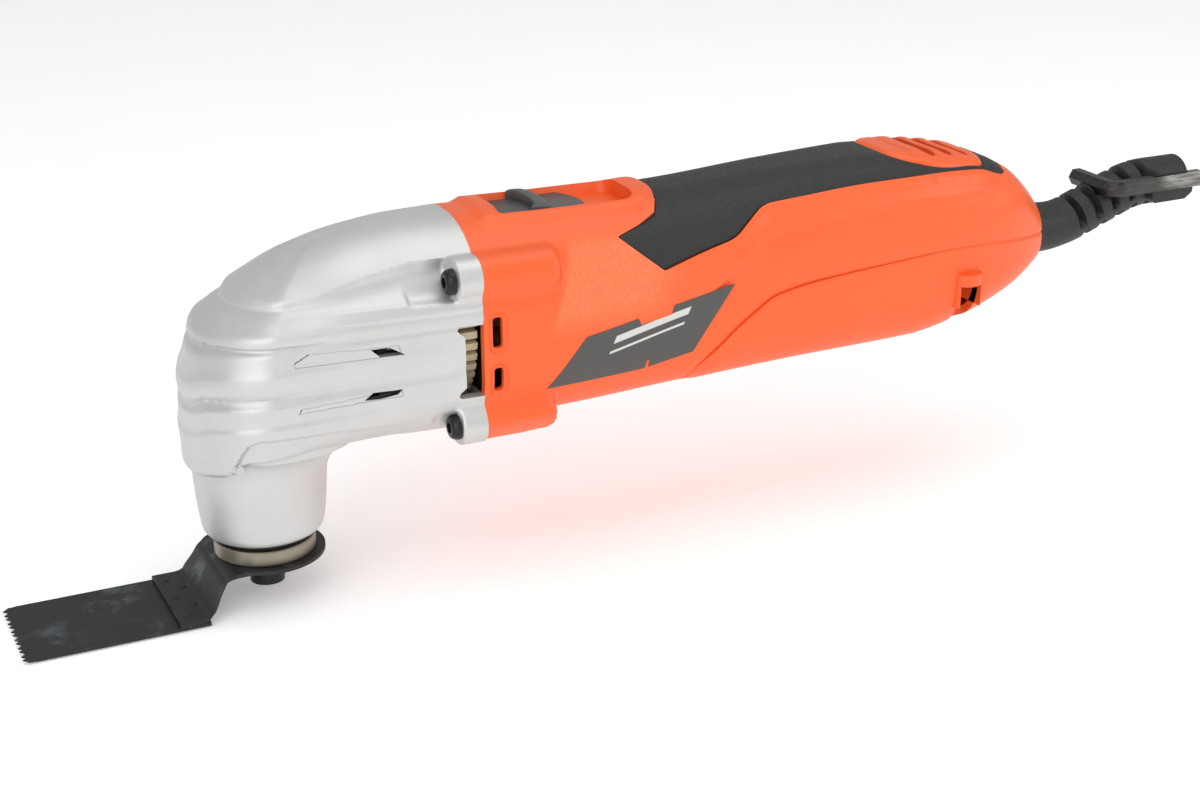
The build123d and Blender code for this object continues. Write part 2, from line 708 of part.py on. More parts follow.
def brush_springs():
    """Two small coil springs behind the brushes."""
    wire_r = 0.25
    coil_r = 1.9
    start = commutator_r + 0.1 + brush_length + wire_r
    length = brush_box_end_y - start - wire_r
    springs = []
    for side in (1, -1):
        path = Helix(pitch=length / 3, height=length, radius=coil_r)
        profile = Plane(origin=path @ 0, z_dir=path % 0) * Circle(wire_r)
        spring = sweep(profile, path=path)
        springs.append(Pos(brush_x, side * start, motor_z) * Rot(-90 * side, 0, 0) * spring)
    return Compound(children=springs)


def brush_carrier():
    """Moulded end bracket of the motor: rear bearing seat and two arms for the brush boxes."""
    x0, x1 = carrier_x
    plate = rod_x(stator_r - 0.4, x0, x1) & block(x0, x1, -22, 22, 0, 120)
    arm_end_y = brush_box_end_y + 1.4
    arms = block(brush_x - 6.4, x0 + 1, -arm_end_y, arm_end_y, motor_z - 7, motor_z + 7)
    arms = arms - rod_x(commutator_r + 1.6, 0, x0)
    plate = plate + arms
    for pocket in brush_boxes(brush_box_wall + 0.1, commutator_r - 2):
        plate = plate - pocket
    window = rod_x(17.5, x0 - 1, x1 + 1) - rod_x(rear_bearing[1] + 2.6, x0 - 1, x1 + 1)
    window = window & (block(x0 - 1, x1 + 1, -7, 7, 0, 120))
    plate = plate - window
    plate = plate - rod_x(rear_bearing[1], x0 - 1, rear_bearing_x + rear_bearing[2])
    plate = plate - rod_x(rear_bearing[0] + 1.2, x0, x1 + 1)
    for up in (1, -1):
        plate = plate - rod_x(carrier_screw_r, x0 - 1, x1 + 1, 0, motor_z + up * carrier_screw_z)
    return plate


def carrier_screws():
    """Two long screws through the end bracket and the stator."""
    screws = []
    for up in (1, -1):
        z = motor_z + up * carrier_screw_z
        head = rod_x(carrier_screw_head_r, carrier_x[1], carrier_x[1] + 2.4, 0, z)
        screws.append(head + rod_x(carrier_screw_r, stator_x[0] - 3, carrier_x[1], 0, z))
    return Compound(children=screws)


# ---------------------------------------------------------------- housing and handle
def seam_region():
    """Space below the seam: the rear cover is the part of the shell inside it."""
    return prism_y((
        (124.0, 20.0), (126.5, 38.0), (132.0, 45.0), (141.0, 53.5), (151.0, 59.6), (163.0, 62.6),
        (tail_x - 46.0, 66.4), (tail_x - 28.0, 66.2), (tail_x + 12.0, 64.6), (tail_x + 12.0, 20.0),
    ), 40)


def grip_region():
    """Space that the soft grip covers, as a side outline, less the louvre panel."""
    side = prism_y((
        (120.5, 110.0), (120.5, 90.4), (113.0, 86.2), (102.5, 84.2), (115.5, 73.4), (140.0, 79.0),
        (146.5, 83.4), (153.0, 85.9), (190.0, 87.3), (tail_x - 19.5, 87.6),
        (tail_x - 14.0, 110.0),
    ), 40)
    panel = Pos((vent_x[0] + vent_x[1]) / 2, 0, 95)
    panel = panel * extrude(RectangleRounded(vent_x[1] - vent_x[0], 2 * vent_half_width, 7),
                            amount=20, both=True)
    return side - panel


def side_badges():
    """Plain dark label on each side of the motor, without any lettering."""
    outline = prism_y(((76.0, 45.6), (107.5, 46.4), (124.0, 48.6), (137.5, 67.6), (103.5, 61.4),
                       (88.0, 59.4)), 40)
    skin = (housing_form(-badge_thickness) - housing_form(0)) & outline
    return Compound(children=list(skin.solids()))


def stator_seat_ribs():
    """Two ribs inside the housing that hold the stator and leave room for the switch link."""
    ribs = None
    for x0 in (stator_x[0] + 3, stator_x[1] - 6):
        slab = housing_form(0.5) & block(x0, x0 + 3, -40, 40, 0, 120)
        slab = slab - rod_x(stator_r + seat_gap, x0 - 1, x0 + 4)
        slab = slab - block(x0 - 1, x0 + 4, -6, 6, motor_z + 10, recess_floor_z - 0.8)
        ribs = slab if ribs is None else ribs + slab
    return ribs


def cover_bosses(z0, z1, r):
    """Round posts at the places of the four cover screws."""
    posts = []
    for x, y in cover_screw_spots:
        for side in (1, -1):
            posts.append(rod_z(r, z0, z1, x, side * y))
    return posts


def housing_shell():
    """The whole shell, before the rear cover is cut from it."""
    shell = housing_form(0) - housing_form(housing_wall, joint_x - 1, housing_wall)
    surround_x = (recess_x[0] - 5, recess_x[1] + 8)
    surround = Pos(sum(surround_x) / 2, 0, 60)
    surround = surround * extrude(RectangleRounded(surround_x[1] - surround_x[0],
                                                   2 * recess_half_width + 6, 6), amount=60)
    shell = shell + ((housing_form(-rim_height) - housing_form(housing_wall)) & surround)
    tray = block(recess_x[0] - 1.6, recess_x[1] + 1.6, -recess_half_width - 1.6,
                 recess_half_width + 1.6, recess_floor_z - recess_floor_thickness, 92)
    shell = shell + (tray & housing_form(0.2))
    shell = shell + stator_seat_ribs()
    for y, z, end in boss_places():
        shell = shell + rod_x(boss_r, joint_x, end, y, z)
    for y, z, end in boss_places():
        shell = shell - rod_x(head_screw_r, joint_x - 1, joint_x + head_screw_length, y, z)
    shell = shell - block(recess_x[0], recess_x[1], -recess_half_width, recess_half_width,
                          recess_floor_z, 110)
    shell = shell - block(stem_x[0] - slide_gap, stem_x[1] + slider_travel + slide_gap,
                          -stem_half_width - slide_gap, stem_half_width + slide_gap, 80, 110)
    for side in (1, -1):
        y0, y1 = sorted((side * (joint_half_width - 8.6), side * (joint_half_width + 5.4)))
        for z0, z1 in side_slot_z:
            shell = shell - block(*side_slot_x, y0, y1, z0, z1)
    for index in range(vent_slots):
        x = vent_x[0] + 11.5 + index * vent_slot_pitch
        shell = shell - block(x, x + vent_slot_width, -12, 12, 86, 110)
    collar_room = rod_x(boot_collar_r + seat_gap, boot_collar_x[0] - seat_gap,
                        boot_collar_x[1] + seat_gap, 0, boot_axis_z)
    tail_seat = rod_x(boot_collar_r + 2.2, boot_collar_x[0] - 1.8, tail_x, 0, boot_axis_z)
    shell = shell + (tail_seat & housing_form(0.3))
    shell = shell - collar_room - rod_x(boot_r + seat_gap, tail_x - 18, tail_x + 5, 0, boot_axis_z)
    return shell


def motor_housing(shell):
    """Front and upper shell in orange plastic, with the seat for the soft grip."""
    upper = shell - seam_region()
    grip_bed = (housing_form(-2) - housing_form(grip_thickness)) & grip_region()
    upper = upper - grip_bed
    inside = housing_form(grip_thickness) - seam_region()
    for post in cover_bosses(cover_screw_seat_z, 88, 3.6):
        upper = upper + (post & inside)
    for post in cover_bosses(cover_screw_seat_z - 1, cover_screw_seat_z + cover_screw_length + 1,
                             cover_screw_r):
        upper = upper - post
    return upper


def rear_cover(shell):
    """Lower rear shell, held by four screws from below."""
    cover = shell & seam_region()
    for post in cover_bosses(20, cover_screw_seat_z, cover_pocket_r + 1.8):
        cover = cover + (post & housing_form(0.0) & seam_region())
    for post in cover_bosses(20, cover_screw_seat_z - 2.0, cover_pocket_r):
        cover = cover - post
    for post in cover_bosses(20, 80, cover_screw_r + 0.2):
        cover = cover - post
    return cover


def soft_grip():
    """Rubber overmould on the handle."""
    form = housing_form(0) - housing_form(grip_thickness)
    return form & grip_region()


def cover_screws():
    """Four screws that hold the rear cover, heads down in their pockets."""
    seat = cover_screw_seat_z - 2.0
    screws = []
    for x, y in cover_screw_spots:
        for side in (1, -1):
            head = rod_z(cover_screw_head_r, seat - 2.2, seat, x, side * y)
            cross = block(x - 2, x + 2, side * y - 0.4, side * y + 0.4, seat - 3, seat - 1.2)
            cross = cross + block(x - 0.4, x + 0.4, side * y - 2, side * y + 2, seat - 3, seat - 1.2)
            shank = rod_z(cover_screw_r, seat, cover_screw_seat_z + cover_screw_length, x, side * y)
            screws.append(head - cross + shank)
    return Compound(children=screws)


# ---------------------------------------------------------------- switch
def switch_slider():
    """Thumb slider with a scooped rib and a stem down to the link."""
    z0 = recess_floor_z + 0.1
    z1 = z0 + slider_plate_h
    half = recess_half_width - slide_gap
    plate = block(slider_x[0], slider_x[1], -half, half, z0, z1)
    rib = prism_y(((rib_x[0], z1), (rib_x[0] + 1.2, z1 + rib_h), (rib_x[0] + 4.2, z1 + rib_h),
                   (rib_x[1], z1), (rib_x[1], z0), (rib_x[0], z0)), half)
    scoop = Pos(rib_x[0] - 7.6, 0, z1 + rib_h) * Cylinder(10.0, 2 * rib_h)
    stem = block(stem_x[0], stem_x[1], -stem_half_width, stem_half_width, link_z[1], z0)
    return plate + (rib - (scoop & block(0, 200, -40, 40, z1, 120))) + stem


def switch_link():
    """Flat bar from the slider back to the switch, with a hook for the switch knob."""
    bar = block(stem_x[0], link_end_x, -link_half_width, link_half_width, *link_z)
    hook_gap = block(knob_x[0], knob_x[1], -2.2, 2.2, link_z[0] - 1, link_z[1] + 1)
    return bar - hook_gap


def switch_knob():
    """The switch's own sliding knob, held in the hook of the link."""
    foot = block(knob_x[0] - 2, knob_x[1] + 2, -3.5, 3.5, switch_z[1] - 2.0, link_z[0] - 0.4)
    return foot + block(knob_x[0], knob_x[1], -2.2, 2.2, switch_z[1], link_z[1])


def switch_body():
    """Slide switch module with two terminals at its back."""
    body = block(switch_x[0], switch_x[1], -switch_half_width, switch_half_width, *switch_z)
    half = 3.5 + slide_gap
    track = block(knob_x[0] - 2 - slide_gap, knob_x[1] + 2 + slider_travel + slide_gap, -half, half,
                  switch_z[1] - 2.0 - slide_gap, switch_z[1] + 1)
    body = body - track
    for side in (1, -1):
        body = body + block(switch_x[1], switch_x[1] + 7, side * 4 - 0.4, side * 4 + 0.4, 68, 73)
    return body


# ---------------------------------------------------------------- supply and tail
def capacitor():
    """Interference-suppression capacitor."""
    box = block(*cap_x, -cap_half_width, cap_half_width, *cap_z)
    return fillet(box.edges().filter_by(Axis.Z), cap_corner_r)


def terminal_block():
    """Two-way terminal block with screw wells."""
    x0, x1 = terminal_x
    box = block(x0, x1, -terminal_half_width, terminal_half_width, *terminal_z)
    for y in (-terminal_way_y, terminal_way_y):
        box = box - rod_x(terminal_wire_r, x0 - 1, x1 + 1, y, terminal_wire_z)
        box = box - rod_z(terminal_screw_r, terminal_wire_z + 1.5, terminal_z[1] + 1, (x0 + x1) / 2, y)
    return box


def cord_clamp():
    """Plastic bar that would grip the mains lead inside the tail."""
    x0, x1 = cord_clamp_x
    low = boot_axis_z + cord_r - cord_clamp_squeeze
    bar = block(x0, x1, -cord_clamp_half_width, cord_clamp_half_width, low, low + cord_clamp_h)
    bar = bar - rod_x(cord_r, x0 - 1, x1 + 1, 0, boot_axis_z)
    for side in (1, -1):
        bar = bar - rod_z(cord_clamp_screw_r + 0.1, low - 1, low + cord_clamp_h + 1, (x0 + x1) / 2,
                          side * cord_clamp_screw_y)
    return bar


def cord_clamp_screws():
    """Two screws of the cord clamp."""
    top = boot_axis_z + cord_r - cord_clamp_squeeze + cord_clamp_h
    x = sum(cord_clamp_x) / 2
    screws = []
    for side in (1, -1):
        y = side * cord_clamp_screw_y
        screws.append(rod_z(2.8, top, top + 2.2, x, y) + rod_z(cord_clamp_screw_r, top - 14, top, x, y))
    return Compound(children=screws)


def boot_path():
    """Centre line of the cable boot: straight out of the tail, then up and level again."""
    points = [(boot_collar_x[0], 0, boot_axis_z), (boot_bend_x, 0, boot_axis_z),
              (clip_x[0], 0, clip_axis_z), (clip_x[1], 0, clip_axis_z)]
    return FilletPolyline(*points, radius=boot_bend_r)


def cable_boot():
    """Rubber boot with relief grooves and a moulded clip for the hexagon key."""
    path = boot_path()
    start = Plane(origin=path @ 0, z_dir=path % 0)
    tube = sweep(start * Circle(boot_end_r), path=path)
    root = turned_x(((boot_collar_x[1], 0), (boot_collar_x[1], boot_r), (tail_x + 3, boot_r),
                     (boot_bend_x, boot_end_r), (boot_bend_x, 0)), z=boot_axis_z)
    collar = rod_x(boot_collar_r, boot_collar_x[0], boot_collar_x[1], 0, boot_axis_z)
    body = tube + root + collar
    for index in range(boot_grooves):
        along = (boot_groove_start + boot_groove_pitch * index) / path.length
        place = Plane(origin=path @ along, z_dir=path % along)
        groove = place * Circle(boot_r + 2) - place * Circle(boot_end_r - boot_groove_depth)
        body = body - extrude(groove, amount=boot_groove_width / 2, both=True)
    half_af = key_af / 2
    corner = key_af / 2 / cos(pi / 6)
    body = body + block(clip_x[0], clip_x[1], key_y - 0.6, clip_far_y, clip_z[0], clip_z[1])
    body = body - block(key_bend_x, clip_x[1] + 9, key_y - 20, key_y + corner + running_gap,
                        key_z - half_af - running_gap, key_z + half_af + running_gap)
    body = body - block(key_bend_x - half_af - slide_gap, key_bend_x + half_af + slide_gap, -30, 30,
                        key_z - half_af - running_gap, key_z + 20)
    bore = sweep(start * Circle(cord_r), path=path)
    return body - bore


def hex_key():
    """Bent hexagon key: long arm in the clip, short arm across the boot in a groove."""
    path = FilletPolyline((key_end_x, key_y, key_z), (key_bend_x, key_y, key_z),
                          (key_bend_x, key_y + key_short_arm, key_z), radius=key_bend_r)
    start = Plane(origin=path @ 0, z_dir=path % 0, x_dir=(0, 1, 0))
    return sweep(start * RegularPolygon(key_af / 2, 6, major_radius=False), path=path)


# ---------------------------------------------------------------- put together
def placed_bearing(name, size, along, place):
    """Write the three nodes of one bearing."""
    outer, inner, balls = bearing(size, along)
    save(f"{name}_outer_race", place * outer)
    save(f"{name}_inner_race", place * inner)
    save(f"{name}_balls", place * balls)


shell = housing_shell()
save("gear_head", gear_head())
save("bearing_bridge", bearing_bridge())
save("bridge_screws", bridge_screws())
save("head_screws", head_screws())
save("motor_housing", motor_housing(shell))
save("rear_cover", rear_cover(shell))
save("soft_grip", soft_grip())
save("side_badges", side_badges())
save("cover_screws", cover_screws())

save("spindle", spindle())
save("oscillating_fork", oscillating_fork())
save("spindle_circlip", retaining_ring(spindle_r - 0.5, spindle_r + 2.4,
                                       lower_bearing_z + lower_bearing[2], ring_t, 40))
save("bearing_retaining_ring", retaining_ring(lower_bearing[1] - 2.4, lower_bearing[1] + 1.0,
                                              lower_bearing_z - ring_t, ring_t, 24))
save("dust_seal", dust_seal())
save("clamp_screw", clamp_screw())
save("clamp_washer", clamp_washer())
save("accessory_holder", accessory_holder())
save("saw_blade", saw_blade())

placed_bearing("lower_spindle_bearing", lower_bearing, "z", Pos(0, 0, lower_bearing_z))
placed_bearing("upper_spindle_bearing", upper_bearing, "z", Pos(0, 0, upper_bearing_z))
placed_bearing("front_motor_bearing", front_bearing, "x", Pos(front_bearing_x, 0, motor_z))
placed_bearing("rear_motor_bearing", rear_bearing, "x", Pos(rear_bearing_x, 0, motor_z))
placed_bearing("eccentric_bearing", eccentric_bearing, "x",
               Pos(eccentric_x - eccentric_bearing[2] / 2, 0, motor_z + eccentric_throw))

save("armature_shaft", armature_shaft())
save("armature_core", armature_core())
save("armature_windings", armature_windings())
save("commutator", commutator())
save("fan", fan())
save("fan_baffle", fan_baffle())
save("stator_core", stator_core())
save("field_coils", field_coils())
save("brush_carrier", brush_carrier())
save("carrier_screws", carrier_screws())
save("brush_holders", brush_holders())
save("brushes", brushes())
save("brush_springs", brush_springs())

save("switch_slider", switch_slider())
save("switch_link", switch_link())
save("switch_knob", switch_knob())
save("switch_body", switch_body())
save("capacitor", capacitor())
save("terminal_block", terminal_block())
save("cord_clamp", cord_clamp())
save("cord_clamp_screws", cord_clamp_screws())
save("cable_boot", cable_boot())
save("hex_key", hex_key())
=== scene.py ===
from math import cos, pi, radians, sin

import bmesh
import bpy
import numpy as np
from mathutils import Euler, Matrix, Vector
from mathutils.geometry import delaunay_2d_cdt


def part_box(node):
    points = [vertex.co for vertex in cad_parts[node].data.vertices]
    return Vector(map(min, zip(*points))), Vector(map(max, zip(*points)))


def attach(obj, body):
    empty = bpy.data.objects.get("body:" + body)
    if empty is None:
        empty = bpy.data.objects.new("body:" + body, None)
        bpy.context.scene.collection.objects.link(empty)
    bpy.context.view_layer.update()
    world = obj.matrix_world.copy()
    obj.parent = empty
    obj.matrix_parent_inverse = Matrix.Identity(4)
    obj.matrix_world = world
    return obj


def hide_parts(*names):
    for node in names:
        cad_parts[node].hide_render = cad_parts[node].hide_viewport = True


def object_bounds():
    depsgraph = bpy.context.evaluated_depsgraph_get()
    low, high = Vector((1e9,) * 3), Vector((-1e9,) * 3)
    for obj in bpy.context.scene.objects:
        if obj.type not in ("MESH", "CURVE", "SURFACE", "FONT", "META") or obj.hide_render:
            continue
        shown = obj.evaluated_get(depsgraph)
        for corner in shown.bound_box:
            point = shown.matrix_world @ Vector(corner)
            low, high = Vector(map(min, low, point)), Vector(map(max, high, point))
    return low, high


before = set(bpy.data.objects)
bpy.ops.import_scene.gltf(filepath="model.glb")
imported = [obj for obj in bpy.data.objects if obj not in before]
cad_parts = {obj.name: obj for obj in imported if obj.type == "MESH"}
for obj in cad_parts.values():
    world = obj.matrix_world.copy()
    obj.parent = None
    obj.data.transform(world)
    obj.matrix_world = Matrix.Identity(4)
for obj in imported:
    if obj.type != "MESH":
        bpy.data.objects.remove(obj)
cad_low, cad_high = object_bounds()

# ------------------------------------------------------------------ studio
# The tool hangs level over a pale sheet, seen from its right side, a little from the front and above.
# One broad light stands at the front left, a second is over the handle, and white walls fill the rest.
camera_place = Vector((-0.13291, -0.51298, 0.24823))
camera_yaw, camera_pitch, camera_roll = radians(25.012), radians(21.376), radians(-0.368)
camera_data = bpy.data.cameras.new("camera")
camera_data.lens = 60.06
camera = bpy.data.objects.new("camera", camera_data)
bpy.context.scene.collection.objects.link(camera)
turn = Euler((pi / 2 - camera_pitch, 0, -camera_yaw)).to_matrix() @ Matrix.Rotation(camera_roll, 3, "Z")
camera.matrix_world = Matrix.LocRotScale(camera_place, turn, None)
bpy.context.scene.camera = camera

floor_mesh = bpy.data.meshes.new("floor")
reach = 4.0
floor_z = cad_low.z - 0.0005
floor_mesh.from_pydata([(-reach, -reach, floor_z), (reach, -reach, floor_z), (reach, reach, floor_z),
                        (-reach, reach, floor_z)], [], [(0, 1, 2, 3)])
floor = bpy.data.objects.new("floor", floor_mesh)
bpy.context.scene.collection.objects.link(floor)


def softbox(name, place, aim, size, power):
    """One round area light that faces a point of the tool."""
    lamp = bpy.data.lights.new(name, "AREA")
    lamp.shape = "DISK"
    lamp.size, lamp.energy = size, power
    lamp_object = bpy.data.objects.new(name, lamp)
    bpy.context.scene.collection.objects.link(lamp_object)
    place, aim = Vector(place), Vector(aim)
    lamp_object.location = place
    lamp_object.rotation_euler = (aim - place).to_track_quat("-Z", "Y").to_euler()


softbox("front_light", (-0.75, -1.0, 0.75), (0.06, 0, 0.06), 1.5, 9.0)
softbox("top_light", (0.35, -0.1, 1.2), (0.12, 0, 0.07), 1.1, 4.0)
softbox("tail_light", (1.0, -0.7, 0.5), (0.2, 0, 0.06), 0.6, 2.5)
world = bpy.data.worlds.new("white_walls")
world.use_nodes = True
world.node_tree.nodes["Background"].inputs["Color"].default_value = (1, 1, 1, 1)
world.node_tree.nodes["Background"].inputs["Strength"].default_value = 0.55
bpy.context.scene.world = world
bpy.context.scene.view_settings.view_transform = "Standard"


class Wire:
    """A shader socket that takes part in sums, so that shader maths reads as maths."""

    def __init__(self, tree, socket):
        self.tree, self.socket = tree, socket

    def node(self, kind, values=(), out=0, **settings):
        """Any other node: its settings first, then its inputs by number or name."""
        made = self.tree.nodes.new(kind)
        for key, value in settings.items():
            setattr(made, key, value)
        pairs = values.items() if isinstance(values, dict) else enumerate(values)
        for key, value in pairs:
            if isinstance(value, Wire):
                self.tree.links.new(value.socket, made.inputs[key])
            elif value is not None:
                made.inputs[key].default_value = value
        return Wire(self.tree, made.outputs[out])

    def maths(self, operation, *values, clamp=False):
        return self.node("ShaderNodeMath", values, operation=operation, use_clamp=clamp)

    def __add__(self, other):
        return self.maths("ADD", self, other)

    def __sub__(self, other):
        return self.maths("SUBTRACT", self, other)

    def __rsub__(self, other):
        return self.maths("SUBTRACT", other, self)

    def __mul__(self, other):
        return self.maths("MULTIPLY", self, other)

    __radd__, __rmul__ = __add__, __mul__

    def between(self, low, high):
        """0 below low, 1 above high, and smooth in between."""
        return self.node("ShaderNodeMapRange", (self, low, high, 0.0, 1.0),
                         interpolation_type="SMOOTHSTEP")

    def mix(self, low, high):
        """low where this is 0 and high where it is 1, for colours."""
        return self.node("ShaderNodeMix", {0: self, 6: low, 7: high}, out=2, data_type="RGBA")


class Finish:
    """One material: noise, colour and bump on object coordinates, and a Principled shader."""

    def __init__(self, name, roughness=0.5, metallic=0.0, coat=0.0, coat_roughness=0.1, specular=0.5):
        self.material = bpy.data.materials.new(name)
        self.material.use_nodes = True
        self.tree = self.material.node_tree
        self.shader = self.tree.nodes["Principled BSDF"]
        for socket, value in (("Roughness", roughness), ("Metallic", metallic), ("Coat Weight", coat),
                              ("Coat Roughness", coat_roughness), ("Specular IOR Level", specular)):
            self.shader.inputs[socket].default_value = value
        self.place = Wire(self.tree, self.tree.nodes.new("ShaderNodeTexCoord").outputs["Object"])

    def noise(self, size_mm, detail=3.0, rough=0.55, stretch=None):
        """Noise whose grains are about size_mm across, 0 to 1."""
        place = self.place
        if stretch:
            place = place.node("ShaderNodeVectorMath", (place, stretch), operation="MULTIPLY")
        return place.node("ShaderNodeTexNoise", {"Vector": place, "Scale": 1000.0 / size_mm,
                                                 "Detail": detail, "Roughness": rough})

    def cells(self, size_mm):
        """Distance to the nearest of many scattered points about size_mm apart."""
        return self.place.node("ShaderNodeTexVoronoi", {"Vector": self.place,
                                                        "Scale": 1000.0 / size_mm})

    def along(self, axis):
        """One coordinate of the piece, in millimetres."""
        split = self.place.node("ShaderNodeSeparateXYZ", (self.place,), out=axis)
        return split * 1000.0

    def colour(self, wire):
        self.tree.links.new(wire.socket, self.shader.inputs["Base Color"])
        return self

    def drive(self, socket, wire):
        self.tree.links.new(wire.socket, self.shader.inputs[socket])
        return self

    def bump(self, height, depth_mm, strength=1.0):
        made = height.node("ShaderNodeBump", {"Height": height, "Distance": depth_mm / 1000.0,
                                              "Strength": strength})
        self.tree.links.new(made.socket, self.shader.inputs["Normal"])
        return self


paper = Finish("pale_paper", roughness=0.9)
paper.colour(paper.noise(40.0).mix((0.93, 0.93, 0.93, 1), (0.97, 0.97, 0.97, 1)))
paper.shader.inputs["Emission Color"].default_value = (1, 1, 1, 1)
paper.shader.inputs["Emission Strength"].default_value = 0.22
floor.data.materials.append(paper.material)


# ------------------------------------------------------------------ gear head
# A silver-painted die casting: a dome over stepped bands round the nose, a round neck below for the
# spindle, four screw bosses against the housing, air slots and a window on each side for the fan.
MM = 0.001
joint_x = 1000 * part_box("gear_head")[1].x
joint_top, joint_bottom, joint_half = 92.9, 32.5, 28.6
shoulder_r, belly_r = 26.0, 19.0
belt_z = 50.0                 # widest level of the head
nose_x, nose_half = -20.6, 25.5
boss_spots = ((23.5, 79.5), (24.0, 37.5))
boss_face_x = 50.5
boss_r = 6.2


def smooth(value, low, high):
    """0 at low, 1 at high, and smooth in between; low may be the larger."""
    t = np.clip((value - low) / (high - low), 0, 1)
    return t * t * (3 - 2 * t)


def flow(x, xs, ys):
    """Smooth curve through the points (xs, ys) without overshoot, level past both ends."""
    xs, ys = np.asarray(xs, float), np.asarray(ys, float)
    slopes = np.diff(ys) / np.diff(xs)
    tangents = np.zeros(len(xs))
    tangents[0], tangents[-1] = slopes[0], slopes[-1]
    before, after = slopes[:-1], slopes[1:]
    same = before * after > 0
    tangents[1:-1][same] = 2 * before[same] * after[same] / (before[same] + after[same])
    x = np.clip(x, xs[0], xs[-1])
    index = np.clip(np.searchsorted(xs, x) - 1, 0, len(xs) - 2)
    span = xs[index + 1] - xs[index]
    t = (x - xs[index]) / span
    return ((1 + 2 * t) * (1 - t) ** 2 * ys[index] + t * (1 - t) ** 2 * span * tangents[index]
            + t * t * (3 - 2 * t) * ys[index + 1] + t * t * (t - 1) * span * tangents[index + 1])


def bar_x(points, r, y, z, x0, x1, round_end=1.0):
    """Distance to a round bar along X with softened ends."""
    across = np.hypot(np.abs(points[:, 1]) - y, points[:, 2] - z) - (r - round_end)
    along = np.abs(points[:, 0] - (x0 + x1) / 2) - ((x1 - x0) / 2 - round_end)
    outside = np.hypot(np.maximum(across, 0), np.maximum(along, 0))
    return outside + np.minimum(np.maximum(across, along), 0) - round_end


def joined(a, b, soft):
    """Union of two distances with a fillet about as large as soft."""
    h = np.maximum(soft - np.abs(a - b), 0) / soft
    return np.minimum(a, b) - h * h * soft / 4


def carved(a, b, soft):
    """What is left of a when b is cut away, with a soft edge."""
    return -joined(-a, b, soft)


def settle(points, normals, form, reach=7.0, steps=60):
    """Slides each point along its normal from outside until it meets the form."""
    height = np.full(len(points), reach)
    for _ in range(steps):
        height = height - 0.9 * form(points + height[:, None] * normals, height)
        height = np.clip(height, -reach, reach)
    return points + height[:, None] * normals


def grid_faces(rows, columns):
    """Quads between the points of a grid, row by row."""
    index = np.arange(rows * columns).reshape(rows, columns)
    return np.stack([index[:-1, :-1], index[1:, :-1], index[1:, 1:], index[:-1, 1:]], -1).reshape(-1, 4)


def grid_normals(grid):
    """Unit normals of a grid of points, from its two directions."""
    normals = np.cross(np.gradient(grid, axis=1), np.gradient(grid, axis=0))
    return normals / np.maximum(np.linalg.norm(normals, axis=2, keepdims=True), 1e-9)


def raw_object(name, points_mm, faces):
    """A mesh object from points in millimetres; faces is a list of index lists."""
    mesh = bpy.data.meshes.new(name)
    mesh.from_pydata((np.asarray(points_mm) * MM).tolist(), [], [list(map(int, f)) for f in faces])
    made = bpy.data.objects.new(name, mesh)
    bpy.context.scene.collection.objects.link(made)
    return made


def tidy_mesh(piece, gap_mm=0.004):
    """Merges what is in one place and turns every face outwards."""
    import bmesh
    work = bmesh.new()
    work.from_mesh(piece.data)
    bmesh.ops.remove_doubles(work, verts=work.verts, dist=gap_mm * MM)
    bmesh.ops.dissolve_degenerate(work, edges=work.edges, dist=gap_mm * MM / 4)
    bmesh.ops.recalc_face_normals(work, faces=work.faces)
    work.to_mesh(piece.data)
    work.free()


def baked(piece):
    """Turns the piece's modifiers into its own mesh."""
    graph = bpy.context.evaluated_depsgraph_get()
    mesh = bpy.data.meshes.new_from_object(piece.evaluated_get(graph))
    piece.modifiers.clear()
    piece.data = mesh
    return piece


def combine(base, others, operation):
    """Exact union or difference of base with some other closed meshes, which are used up."""
    for other in others:
        step = base.modifiers.new(operation.lower(), "BOOLEAN")
        step.operation, step.solver, step.object = operation, "EXACT", other
        baked(base)
        bpy.data.objects.remove(other)
    return base


def box_object(name, low, high):
    """A box between two corners, in millimetres, for cutting."""
    corners = [(x, y, z) for x in (low[0], high[0]) for y in (low[1], high[1]) for z in (low[2], high[2])]
    return raw_object(name, corners, [(0, 1, 3, 2), (4, 6, 7, 5), (0, 4, 5, 1), (2, 3, 7, 6), (0, 2, 6, 4),
                                      (1, 5, 7, 3)])


def prism_object(name, outline, low, high, axis=1):
    """An outline of two coordinates run along the third axis, closed, for cutting."""
    count = len(outline)
    points = []
    for level in (low, high):
        for a, b in outline:
            point = [a, b]
            point.insert(axis, level)
            points.append(point)
    faces = [tuple(range(count)), tuple(range(2 * count - 1, count - 1, -1))]
    faces += [(i, (i + 1) % count, (i + 1) % count + count, i + count) for i in range(count)]
    made = raw_object(name, points, faces)
    tidy_mesh(made)
    return made


def finish_piece(piece, name, finish, body, nodes, sharp_deg=38):
    """Names a finished mesh, smooths all but its sharp edges, and gives it its body and its finish."""
    piece.name = name
    piece.data.name = name
    piece.data.materials.clear()
    piece.data.materials.append(finish.material)
    piece.data.polygons.foreach_set("use_smooth", [True] * len(piece.data.polygons))
    piece.data.polygons.foreach_set("material_index", [0] * len(piece.data.polygons))
    piece.data.set_sharp_from_angle(angle=radians(sharp_deg))
    piece.data.update()
    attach(piece, body)
    if nodes:
        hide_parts(*nodes)
    return piece


